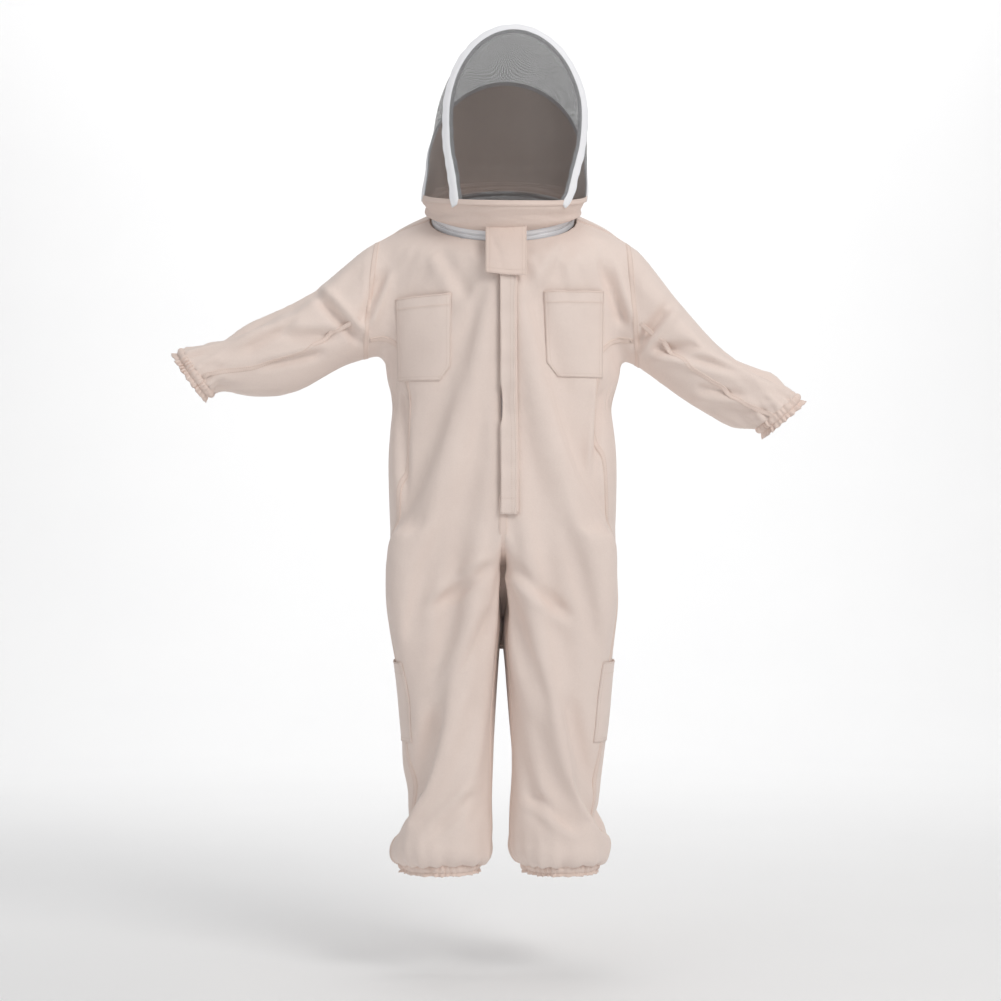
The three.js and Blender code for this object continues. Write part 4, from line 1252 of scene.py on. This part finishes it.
# ---------------------------------------------------------------- front zip under the placket
zip_top, zip_low = -0.118, -0.550
ZIP_X = 0.0035
line = []
for z in np.linspace(zip_top, zip_low, 110):
    a, _ = on_front(-0.010, z)
    b, _ = on_front(0.010, z)
    line.append([ZIP_X, max(a[1], b[1]) + 0.0042, z])
line = eased(np.array(line), 12)
out_n = np.tile([0, -1.0, 0], (len(line), 1))
for side, hand in ((1, "left"), (-1, "right")):
    off = line + np.array([side * 0.0072, 0.0012, 0])
    tape = sweep(off, out_n, soft_strip(0.0064, 0.0008, 0.0004))
    obj = bundle("zip_tape_" + hand, [tape], TEETH)
    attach(obj, "suit")
    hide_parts("front_zip_tape_" + hand)
    teeth = []
    for k, z in enumerate(np.arange(zip_top - 0.001, zip_low, -0.0026)):
        y = np.interp(-z, -line[:, 2], line[:, 1])
        zz = z - (0.0013 if side > 0 else 0)
        x0, x1 = side * 0.0030, -side * 0.0012
        co = []
        for dx, ht in ((x0, 0.0008), (x0 * 0.4, 0.00105), (x1, 0.0006)):
            for dy in (-0.0012, 0.0008):
                for dz in (-ht, ht):
                    co.append((ZIP_X + dx, y + dy, zz + dz))
        faces = [(0, 1, 3, 2), (8, 10, 11, 9), (0, 4, 5, 1), (4, 8, 9, 5), (2, 3, 7, 6), (6, 7, 11, 10), (1, 5, 7, 3), (5, 9, 11, 7), (0, 2, 6, 4), (4, 6, 10, 8)]
        teeth.append((np.array(co), faces if side < 0 else [f[::-1] for f in faces]))
    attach(bundle("zip_teeth_" + hand, teeth, TEETH), "suit")


def plate(outline, thick, hole=None, bevel=0.0006, name="plate", material=NICKEL):
    """A rounded metal plate in X-Z that faces -Y, from an outline of (x, z) points."""
    curve = bpy.data.curves.new(name, "CURVE")
    curve.dimensions = "2D"
    curve.fill_mode = "BOTH"
    curve.extrude = thick / 2 - bevel
    curve.bevel_depth = bevel
    curve.bevel_resolution = 3
    for pts in [outline] + ([hole] if hole else []):
        sp = curve.splines.new("POLY")
        sp.points.add(len(pts) - 1)
        for q, (x, z) in zip(sp.points, pts):
            q.co = (x, z, 0, 1)
        sp.use_cyclic_u = True
    obj = bpy.data.objects.new(name, curve)
    bpy.context.scene.collection.objects.link(obj)
    dg = bpy.context.evaluated_depsgraph_get()
    mesh = bpy.data.meshes.new_from_object(obj.evaluated_get(dg))
    bpy.data.objects.remove(obj)
    turn = Matrix.Rotation(math.pi / 2, 4, "X")
    mesh.transform(turn)
    made = bpy.data.objects.new(name, mesh)
    bpy.context.scene.collection.objects.link(made)
    mesh.shade_smooth()
    dress(made, material)
    return made


def arc(cx, cz, r, a0, a1, count=14):
    return [(cx + r * math.cos(math.radians(a)), cz + r * math.sin(math.radians(a))) for a in np.linspace(a0, a1, count)]


def pull_outline(length, half):
    top = [(-half * 0.55, 0), (-half * 0.62, -length * 0.25), (-half, -length + half * 1.3)]
    bottom = arc(0, -length + half, half, 180, 360)
    return top + bottom + [(half * 0.62, -length * 0.25), (half * 0.55, 0)]


def put(obj, place):
    obj.data.transform(Matrix.Translation(Vector(place)))
    return obj


slide_low, slide_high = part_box("front_zip_slider")
slider = plate(
    [(-0.0052, 0), (-0.0030, 0.0004), (0, -0.0010), (0.0030, 0.0004), (0.0052, 0), (0.0060, -0.0050), (0.0034, -0.0138), (-0.0034, -0.0138), (-0.0060, -0.0050)],
    0.0030, name="zip_slider",
)
put(slider, (ZIP_X, (slide_low.y + slide_high.y) / 2 + 0.004, slide_high.z))
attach(slider, "front_slider")
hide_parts("front_zip_slider")
pull_low, pull_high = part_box("front_zip_pull")
pull = plate(pull_outline(0.030, 0.0040), 0.0017, arc(0, -0.0255, 0.0018, 0, 330, 12), 0.0004, "zip_pull")
put(pull, (ZIP_X, (pull_low.y + pull_high.y) / 2 + 0.004, pull_high.z))
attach(pull, "front_pull")
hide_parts("front_zip_pull")
stop_low, stop_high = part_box("front_zip_stop")
stop = plate([(-0.004, 0), (0.004, 0), (0.004, -0.004), (-0.004, -0.004)], 0.0013, name="zip_stop", bevel=0.0003)
put(stop, (ZIP_X, (stop_low.y + stop_high.y) / 2 + 0.005, stop_high.z))
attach(stop, "suit")
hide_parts("front_zip_stop")


# ---------------------------------------------------------------- hood
DOME_Z, DOME_H = 0.131, 0.230
HOOD_ROWS = [
    neck_loop(0.0083),
    [0.015, -0.024, 0.068, 0.149, -0.159, 0.137],
    [0.033, 0.003, 0.078, 0.158, -0.182, 0.145],
    [0.080, 0.060, 0.105, 0.156, -0.185, 0.146],
    level(DOME_Z, 0.157, -0.185, 0.145),
] + [
    level(DOME_Z + DOME_H * math.sin(t), 0.157 * math.cos(t), -0.020 - 0.165 * math.cos(t), -0.020 + 0.165 * math.cos(t))
    for t in [math.radians(d) for d in (20, 38, 54, 68, 80)]
] + [level(DOME_Z + DOME_H, 0.0012, -0.0212, -0.0188)]
HOOD_TOP = len(HOOD_ROWS) - 1
FRONT_HOOP = (np.array([0, -0.139, 0.029]), math.radians(12.7))
REAR_HOOP = (np.array([0, -0.020, 0.050]), math.radians(30.2))


def hood_points(place, angle):
    rows = rows_at(HOOD_ROWS, np.atleast_1d(place)).T
    return loop_points(rows, np.atleast_1d(angle), 2)


def hoop_normal(hoop):
    return np.array([0, math.cos(hoop[1]), -math.sin(hoop[1])])


def hoop_side(co, hoop):
    return (co - hoop[0]) @ hoop_normal(hoop)


def sway(co):
    """The hood turns and tips a little to the wearer's left above the neck ring."""
    co = np.array(co, float)
    h = co[:, 2] * math.cos(LEAN) - co[:, 1] * math.sin(LEAN)
    w = smooth01((h - 0.006) / 0.085)
    turn = math.radians(4.5) * w
    c, s_ = np.cos(turn), np.sin(turn)
    x, y = co[:, 0], co[:, 1] + 0.02
    nx, ny = x * c - y * s_, x * s_ + y * c - 0.02
    lean = 0.006 * w + 0.012 * smooth01(h / 0.25)
    return np.stack([nx + lean, ny, co[:, 2]], -1)


def hood_grid(name, low, high, cols, rows, shape):
    place = np.repeat(np.linspace(low, high, rows), cols)
    angle = np.tile(np.arange(cols) / cols * 2 * np.pi, rows)
    co = hood_points(place, angle)
    co = shape(co, angle, (place - low) / (high - low))
    return make(name, co, grid_faces(rows, cols, closed=True))


def radial_out(co):
    out = co - np.array([0, -0.02, DOME_Z])
    out[:, 2] *= np.where(co[:, 2] > DOME_Z, 1, 0)
    return out / (np.linalg.norm(out, axis=1)[:, None] + 1e-9)


# cotton band between the neck zip and the veil, slack and creased
def band_shape(co, angle, v):
    out = radial_out(co)
    sides = np.abs(np.cos(angle)) ** 1.5
    roll = np.sin(np.pi * np.clip(v, 0, 1)) ** 0.8
    sag = np.exp(-((v - 0.30) / 0.22) ** 2)
    n1 = wave_noise(np.stack([np.cos(angle), np.sin(angle), v * 1.6], -1), 0.42, 3)
    n2 = wave_noise(np.stack([np.cos(angle) * 1.0, np.sin(angle) * 1.0, v * 3.2], -1), 0.17, 5)
    tuck = np.sin(v * 7.5 + 1.2 * n1 + 0.5) * np.sin(np.pi * v)
    move = 0.0065 * sag * (0.55 + 0.6 * sides) + 0.0030 * n1 * roll + 0.0014 * n2 * roll + 0.0016 * tuck * (0.4 + sides)
    co = co + out * move[:, None]
    co[:, 2] -= 0.0045 * sag * (0.4 + sides)
    return co


band = hood_grid("hood_band_cloth", 0, 2.02, 300, 26, band_shape)
set_coords(band, sway(coords(band)))
dress(band, HEMS)
thicken(band, 0.0016)
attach(band, "hood")
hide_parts("hood_band")
band_tree = BVHTree.FromPolygons([tuple(v.co) for v in band.data.vertices], [tuple(q.vertices) for q in band.data.polygons])


def dome_shape(co, angle, v):
    out = radial_out(co)
    front = (hoop_side(co, FRONT_HOOP) < 0)
    rear = (hoop_side(co, REAR_HOOP) > 0)
    near_front = np.abs(hoop_side(co, FRONT_HOOP))
    near_rear = np.abs(hoop_side(co, REAR_HOOP))
    slack = smooth01(near_front / 0.05) * smooth01(near_rear / 0.05)
    broad = wave_noise(co, 0.11, 8, (1.2, 1.2, 0.6))
    fine = wave_noise(co, 0.035, 9, (1.4, 1.4, 0.6))
    soft = np.where(rear, 0.0045, np.where(front, 0.0022, 0.0030))
    dip = np.where(front | rear, 0.0, -0.006) * slack
    return co + out * (soft * broad * slack + 0.0007 * fine * slack + dip)[:, None]


dome = hood_grid("dome", 2.0, HOOD_TOP, 240, 110, dome_shape)
bm = bmesh.new()
bm.from_mesh(dome.data)
for hoop in (FRONT_HOOP, REAR_HOOP):
    cut(bm, hoop[0], Vector(hoop_normal(hoop)), False)
groups = {"front_veil_net": [], "crown_veil_net": [], "hood_rear_cloth": []}
for f in bm.faces:
    c = np.array(f.calc_center_median())
    key = "front_veil_net" if hoop_side(c, FRONT_HOOP) < 0 else ("hood_rear_cloth" if hoop_side(c, REAR_HOOP) > 0 else "crown_veil_net")
    groups[key].append([v for v in f.verts])
for key, polys in groups.items():
    used, faces = {}, []
    for verts in polys:
        faces.append([used.setdefault(v, len(used)) for v in verts])
    flat = np.array([tuple(v.co) for v in used])
    obj = make(key, sway(flat), faces)
    uv = obj.data.uv_layers.new(name="UVMap")
    x, y, z = flat.T
    if key == "front_veil_net":
        u, w = np.arctan2(x, -(y + 0.02)) * 0.157, z
    else:
        u, w = y, np.arctan2(x, z - 0.02) * 0.19
    loops = np.zeros(len(obj.data.loops), int)
    obj.data.loops.foreach_get("vertex_index", loops)
    uv.data.foreach_set("uv", np.stack([u[loops], w[loops]], -1).astype(np.float32).ravel())
    if key == "hood_rear_cloth":
        dress(obj, COTTON)
        thicken(obj, 0.0012)
        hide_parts("hood_rear_panel")
    else:
        dress(obj, NET)
        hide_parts("front_veil" if key == "front_veil_net" else "crown_veil")
    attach(obj, "hood")
bm.free()
drop(dome)


clean = hood_grid("clean", 0.6, HOOD_TOP, 200, 90, lambda co, angle, v: co)
clean_tree = BVHTree.FromPolygons([tuple(v.co) for v in clean.data.vertices], [tuple(q.vertices) for q in clean.data.polygons])
drop(clean)


def rim_height(co):
    """Height of the band's top edge in the direction of a point."""
    z0, zf, zb = HOOD_ROWS[2][:3]
    s = np.sin(np.arctan2((co[:, 1] + 0.02) / 0.165, co[:, 0] / 0.157))
    return z0 + (zb - zf) / 2 * s + ((zb + zf) / 2 - z0) * s * s


def hoop_line(hoop):
    """Where a hoop plane meets the hood, from one side of the band over to the other."""
    n = hoop_normal(hoop)
    rise = np.array([0, math.sin(hoop[1]), math.cos(hoop[1])])
    start = hoop[0] + rise * 0.11
    pts = []
    for turn in np.radians(np.linspace(-58, 238, 420)):
        way = np.array([1, 0, 0]) * math.cos(turn) + rise * math.sin(turn)
        hit, _, _, _ = clean_tree.ray_cast(Vector(start), Vector(way))
        if hit is not None:
            pts.append(np.array(hit))
    co = np.array(pts)
    co = co[co[:, 2] > rim_height(co) - 0.004]
    out = co - np.array([0, -0.02, DOME_Z])
    out[:, 2] *= np.where(co[:, 2] > DOME_Z, 0.6, 0)
    return co, out / np.linalg.norm(out, axis=1)[:, None]


def binding(name, hoop, half, puff, face, node, hoop_node):
    co, out = hoop_line(hoop)
    pts = resample(co, 0.0045)
    near = np.array([np.argmin(((co - q) ** 2).sum(1)) for q in pts])
    up = eased(out[near], 4) - np.array([0, face, 0])
    n = hoop_normal(hoop)
    up = up - (1 - min(face, 1)) * np.outer(up @ n, n)
    up /= np.linalg.norm(up, axis=1)[:, None]
    prof = []
    for k in range(18):
        a = 2 * math.pi * k / 18
        c, s_ = math.cos(a), math.sin(a)
        across = half * power(np.array(c), 0.8)
        body = 0.0011 + (puff - 0.0011) * math.exp(-(across / (half * 0.42)) ** 2)
        prof.append((float(across), float(s_ * body) + 0.0004))
    wig = 1 + 0.05 * np.sin(np.arange(len(pts)) * 0.9) + 0.03 * np.sin(np.arange(len(pts)) * 0.37)
    c, f = sweep(pts, up, prof, scale=wig)
    obj = dress(make(name, sway(c), f), TAPE)
    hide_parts(node, hoop_node)
    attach(obj, "hood")
    threads = []
    for r in (half - 0.0016, -half + 0.0016):
        threads += stitch_parts(pts, up, r, lift=0.0014, pitch=0.0046)
    threads = [(sway(c), f) for c, f in threads]
    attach(bundle(name + "_stitching", threads, WHITE_THREAD), "hood")
    return pts, up


binding("front_binding_tape", FRONT_HOOP, 0.0112, 0.0036, 1.3, "front_binding", "front_hoop")
binding("rear_binding_tape", REAR_HOOP, 0.0085, 0.0036, 0.6, "rear_binding", "rear_hoop")

# edge of the veil where it is sewn to the band
angle = np.linspace(0, 2 * np.pi, 300, endpoint=False)
rim = hood_points(np.full(300, 2.0), angle)
rim_out = radial_out(rim)
pts = rim + rim_out * 0.0004
edge = sweep(pts, rim_out, soft_strip(0.0052, 0.0016, 0.0012), closed=True)
edge = (sway(edge[0]), edge[1])
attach(bundle("band_top_seam", [edge], HEMS), "hood")
threads = stitch_parts(pts, rim_out, 0.0028, lift=0.0016, closed=True) + stitch_parts(pts, rim_out, -0.0028, lift=0.0016, closed=True)
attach(bundle("band_top_stitching", [(sway(c), f) for c, f in threads], THREAD), "hood")

# ---------------------------------------------------------------- neck zip
RING_Y = np.array([0, math.cos(LEAN), math.sin(LEAN)])


def ring_points(angle, radius, height):
    angle = np.asarray(angle, float)
    flat = np.outer(np.cos(angle), [1, 0, 0]) + np.outer(np.sin(angle), RING_Y)
    return flat * np.reshape(radius, (-1, 1)) + np.outer(np.broadcast_to(height, angle.shape), np.array(NECK_N)), flat


angle = np.linspace(0, 2 * np.pi, 330, endpoint=False)
wave = 0.0008 * np.sin(angle * 17 + 2 * np.sin(angle * 3)) + 0.0010 * np.sin(angle * 6 + 1)
for name, height, body, node in (("neck_tape_lower", -0.0074, "suit", "neck_zip_tape_lower"), ("neck_tape_upper", 0.0052, "hood", "neck_zip_tape_upper")):
    pts, out = ring_points(angle, NECK_R + 0.0016 + wave * 0.6, height + wave * 0.25)
    side = 1 if height > 0 else -1
    band_tape = sweep(pts, out, [(a * 0.92, u) for a, u in soft_strip(0.0046 if side > 0 else 0.0068, 0.0012, 0.0008)], closed=True)
    obj = bundle(name, [band_tape], TAPE)
    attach(obj, body)
    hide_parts(node)
    threads = stitch_parts(pts, out, -0.0034 * side, lift=0.0013, closed=True, pitch=0.0045) + stitch_parts(pts, out, 0.0034 * side, lift=0.0013, closed=True, pitch=0.0045)
    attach(bundle(name + "_stitching", threads, WHITE_THREAD), body)
    teeth = []
    count = 330
    for k in range(count):
        a = 2 * math.pi * (k + (0.5 if side > 0 else 0)) / count
        (c,), (o,) = ring_points([a], NECK_R + 0.0024, 0.0)
        t = np.cross(np.array(NECK_N), o)
        up = np.array(NECK_N) * side
        co = []
        for h, wd in ((0.0018, 0.0007), (0.0002, 0.00095), (-0.0010, 0.0005)):
            for dr in (-0.0009, 0.0010):
                for dt in (-wd, wd):
                    co.append(c + up * (h) + o * dr + t * dt)
        faces = [(0, 1, 3, 2), (8, 10, 11, 9), (0, 4, 5, 1), (4, 8, 9, 5), (2, 3, 7, 6), (6, 7, 11, 10), (1, 5, 7, 3), (5, 9, 11, 7), (0, 2, 6, 4), (4, 6, 10, 8)]
        teeth.append((np.array(co), faces if side > 0 else [f[::-1] for f in faces]))
    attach(bundle(name + "_teeth", teeth, TEETH), body)

for side, hand in ((1, "left"), (-1, "right")):
    a = -math.pi / 2 + side * 0.07
    (c,), (o,) = ring_points([a], NECK_R + 0.0036, 0.0)
    t = np.cross(np.array(NECK_N), o)
    turn = Matrix((Vector(t), -Vector(o), Vector(NECK_N))).transposed().to_4x4()
    turn.translation = Vector(c)
    obj = plate([(-0.0058, -0.0040), (0.0058, -0.0046), (0.0058, 0.0046), (-0.0058, 0.0040)], 0.0030, name="neck_slider_" + hand, bevel=0.0007)
    obj.data.transform(turn)
    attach(obj, "neck_slider_" + hand)
    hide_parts("neck_zip_slider_" + hand)
    obj = plate(pull_outline(0.0115, 0.0030), 0.0015, arc(0, -0.0085, 0.0012, 0, 330, 10), 0.0003, "neck_pull_" + hand)
    obj.data.transform(Matrix.Translation(Vector((0, -0.0026, 0.0030))))
    obj.data.transform(turn)
    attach(obj, "neck_pull_" + hand)
    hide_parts("neck_zip_pull_" + hand)

# ---------------------------------------------------------------- neck flap with its hook and loop
FLAP_X0, FLAP_TOP = seen(485.5, 223, -0.145)
FLAP_X1, _ = seen(526.5, 223, -0.145)
_, FLAP_LOW = seen(500, 274, -0.164)
flap_line = np.array([(-0.1370, FLAP_TOP), (-0.1440, -0.050), (-0.1520, -0.072), (-0.1590, -0.095), (-0.1645, FLAP_LOW)])
flap_line[:, 0] -= 0.0035
cols, rows = 34, 44
pts = np.zeros((rows, cols, 3))
nrm = np.zeros_like(pts)
for r in range(rows):
    v = r / (rows - 1)
    at = v * (len(flap_line) - 1)
    y, z = rows_at(flap_line, [at])[0]
    for c in range(cols):
        u = c / (cols - 1)
        x = FLAP_X0 + (FLAP_X1 - FLAP_X0) * u
        curl = 0.0030 * (2 * u - 1) ** 2 * v
        crease = 0.0016 * math.exp(-(((u - 0.25) - 0.45 * (v - 0.55)) / 0.10) ** 2) * math.sin(math.pi * v)
        belly = 0.0022 * math.sin(math.pi * u) * math.sin(math.pi * min(v * 1.1, 1))
        ring_fall = 0.010 * (x / NECK_R) ** 2
        pts[r, c] = (x, y + curl * 0.5 - belly + crease + ring_fall, z - 0.0035 * (u - 0.5) * v * 1.6 + 0.0010 * math.sin(5 * u + 2))
nrm[:] = (0, -1, 0.15)
obj = dress(make("neck_flap_cloth", pts.reshape(-1, 3), grid_faces(rows, cols)), HEMS)
flip_if_inward(obj)
thicken(obj, 0.0026, 0)
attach(obj, "flap")
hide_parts("neck_flap")
lines = [("left", 0.0022), ("right", 0.0022), ("bottom", 0.0026), ("left", 0.0080), ("right", 0.0080), ("bottom", 0.0085), ("top", 0.0100), ("top", 0.0030)]
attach(bundle("neck_flap_stitching", edge_stitches(pts, nrm, lines, 0.0028), THREAD), "flap")


def pile_patch(name, pts, up, thick, material, body, node):
    parts = [sweep(pts, up, soft_strip(0.0125, thick, 0.0003))]
    obj = bundle(name, parts, material)
    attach(obj, body)
    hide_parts(node)


low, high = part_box("flap_hook_patch")
x = np.linspace(low.x, high.x, 14)
mid_z = (low.z + high.z) / 2
y_at = np.interp(-mid_z, -flap_line[::1][:, 1], flap_line[:, 0])
pile_patch("flap_hook", np.stack([x, np.full(14, y_at + 0.0022), np.full(14, mid_z)], -1), np.tile([0, 0.97, -0.24], (14, 1)), 0.0011, LOOP, "flap", "flap_hook_patch")
low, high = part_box("chest_loop_patch")
x = np.linspace(low.x, high.x, 14)
line, up = [], []
for v in x:
    a, b = on_front(v if abs(v) > 0.006 else 0.006 * (1 if v >= 0 else -1), (low.z + high.z) / 2, 0.0006)
    line.append(a)
    up.append(b)
pile_patch("chest_loop", eased(np.array(line), 3), np.array(up), 0.0010, LOOP, "suit", "chest_loop_patch")

# ---------------------------------------------------------------- pockets on the legs
for side, hand in ((1, "left"), (-1, "right")):
    low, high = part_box("tool_pocket_" + hand)
    cols, rows = 26, 36
    pts = np.zeros((rows, cols, 3))
    nrm = np.zeros_like(pts)
    centre_x = side * 0.112
    for r in range(rows):
        v = r / (rows - 1)
        z = -0.866 + (-1.022 + 0.866) * v
        for c in range(cols):
            u = c / (cols - 1)
            a = (2 * u - 1) * 0.66 - 0.16
            way = Vector((side * math.cos(a), math.sin(a), 0))
            hit, n, _, _ = surface.ray_cast(Vector((centre_x, 0, z)) + way * 0.4, -way)
            if hit is None:
                hit, n, _, _ = surface.find_nearest(Vector((centre_x, 0, z)) + way * 0.1)
            n = np.array(n) * (1 if n.dot(way) > 0 else -1)
            pts[r, c], nrm[r, c] = np.array(hit), n
    for _ in range(5):
        q = pts.copy()
        q[1:-1, 1:-1] = (pts[:-2, 1:-1] + pts[2:, 1:-1] + pts[1:-1, :-2] + pts[1:-1, 2:]) / 4
        pts = q
    for r in range(rows):
        for c in range(cols):
            u, v = c / (cols - 1), r / (rows - 1)
            bulge = 0.0034 * (1 - (2 * u - 1) ** 4) * (1 - v) ** 1.5 + 0.0014 * math.sin(math.pi * u) * math.sin(math.pi * v)
            pts[r, c] += nrm[r, c] * (0.0012 + bulge)
    obj = dress(make("tool_pocket_cloth_" + hand, pts.reshape(-1, 3), grid_faces(rows, cols)), COTTON)
    total = sum(q.normal.x * side * q.area for q in obj.data.polygons)
    if total < 0:
        obj.data.flip_normals()
    thicken(obj, 0.0013, 0)
    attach(obj, "leg_" + hand)
    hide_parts("tool_pocket_" + hand)
    lines = [("left", 0.0018), ("left", 0.0075), ("right", 0.0018), ("right", 0.0075), ("bottom", 0.0018), ("bottom", 0.0075), ("top", 0.0020), ("top", 0.0215)]
    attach(bundle("tool_pocket_stitching_" + hand, edge_stitches(pts, nrm, lines, 0.0013), THREAD), "leg_" + hand)

# ---------------------------------------------------------------- elastic inside the waist
line, up = [], []
for a in np.linspace(-0.35, math.pi + 0.35, 90):
    way = Vector((math.cos(a), math.sin(a), 0))
    hit, n, _, _ = surface.ray_cast(Vector((0, 0, WAIST)) + way * 0.02, way)
    if hit is None:
        continue
    line.append(np.array(hit) - np.array(way) * 0.0050)
    up.append(-np.array(way))
line, up = eased(np.array(line), 6), np.array(up)
obj = bundle("waist_elastic_band", [sweep(line, up, soft_strip(0.0125, 0.0016, 0.0004))], ELASTIC)
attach(obj, "suit")
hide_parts("waist_elastic")

# ---------------------------------------------------------------- floor, light and camera
floor_z = -1.474
room = []
for k in range(40):
    t = k / 39
    if t < 0.4:
        room.append((-7 + 11 * t / 0.4, floor_z))
    elif t < 0.7:
        a = (t - 0.4) / 0.3 * math.pi / 2
        room.append((4 + 2.5 * math.sin(a), floor_z + 2.5 - 2.5 * math.cos(a)))
    else:
        room.append((6.5, floor_z + 2.5 + 5 * (t - 0.7) / 0.3))
co = [(x, y, z) for y, z in room for x in (-9.0, 9.0)]
backdrop = make("backdrop", co, grid_faces(len(room), 2, flip=False))
white, tree, shader, _ = node_material("studio_white")
where = tree.nodes.new("ShaderNodeTexCoord").outputs["Object"]
soft = noise_node(tree, where, 1.4, 2)
ramp = tree.nodes.new("ShaderNodeMixRGB")
ramp.inputs[1].default_value = (0.90, 0.90, 0.905, 1)
ramp.inputs[2].default_value = (0.93, 0.93, 0.93, 1)
tree.links.new(soft, ramp.inputs[0])
tree.links.new(ramp.outputs[0], shader.inputs["Base Color"])
shader.inputs["Roughness"].default_value = 0.9
dress(backdrop, white)


def area_light(name, place, target, size, power_w, colour=(1, 1, 1)):
    data = bpy.data.lights.new(name, "AREA")
    data.shape = "RECTANGLE"
    data.size, data.size_y = size
    data.energy = power_w
    data.color = colour
    obj = bpy.data.objects.new(name, data)
    obj.location = place
    obj.rotation_euler = (Vector(target) - Vector(place)).to_track_quat("-Z", "Y").to_euler()
    bpy.context.scene.collection.objects.link(obj)
    return obj


area_light("key", (2.3, -3.2, 2.1), (0, 0, -0.4), (1.8, 1.8), 80, (1.0, 0.985, 0.965))
area_light("fill", (-3.0, -3.4, 0.8), (0, 0, -0.6), (2.4, 2.4), 14, (0.97, 0.985, 1.0))
area_light("top", (0.2, -0.4, 3.4), (0, 0, -0.4), (2.6, 2.6), 24)
area_light("back_wash", (0.0, 3.2, 3.6), (0, 6.4, 0.4), (5.0, 2.0), 150)
world = bpy.data.worlds.new("studio")
bpy.context.scene.world = world
world.use_nodes = True
world.node_tree.nodes["Background"].inputs[0].default_value = (1, 1, 1, 1)
world.node_tree.nodes["Background"].inputs[1].default_value = 0.42

cam = bpy.data.cameras.new("camera")
cam.sensor_width = 36
cam.lens = 36 * -CAM_Y / (SPAN * 1001)
camera = bpy.data.objects.new("camera", cam)
camera.location = (CAM_X, CAM_Y, CAM_Z)
camera.rotation_euler = (math.pi / 2, 0, 0)
bpy.context.scene.collection.objects.link(camera)
bpy.context.scene.camera = camera
bpy.context.scene.view_settings.view_transform = "Standard"
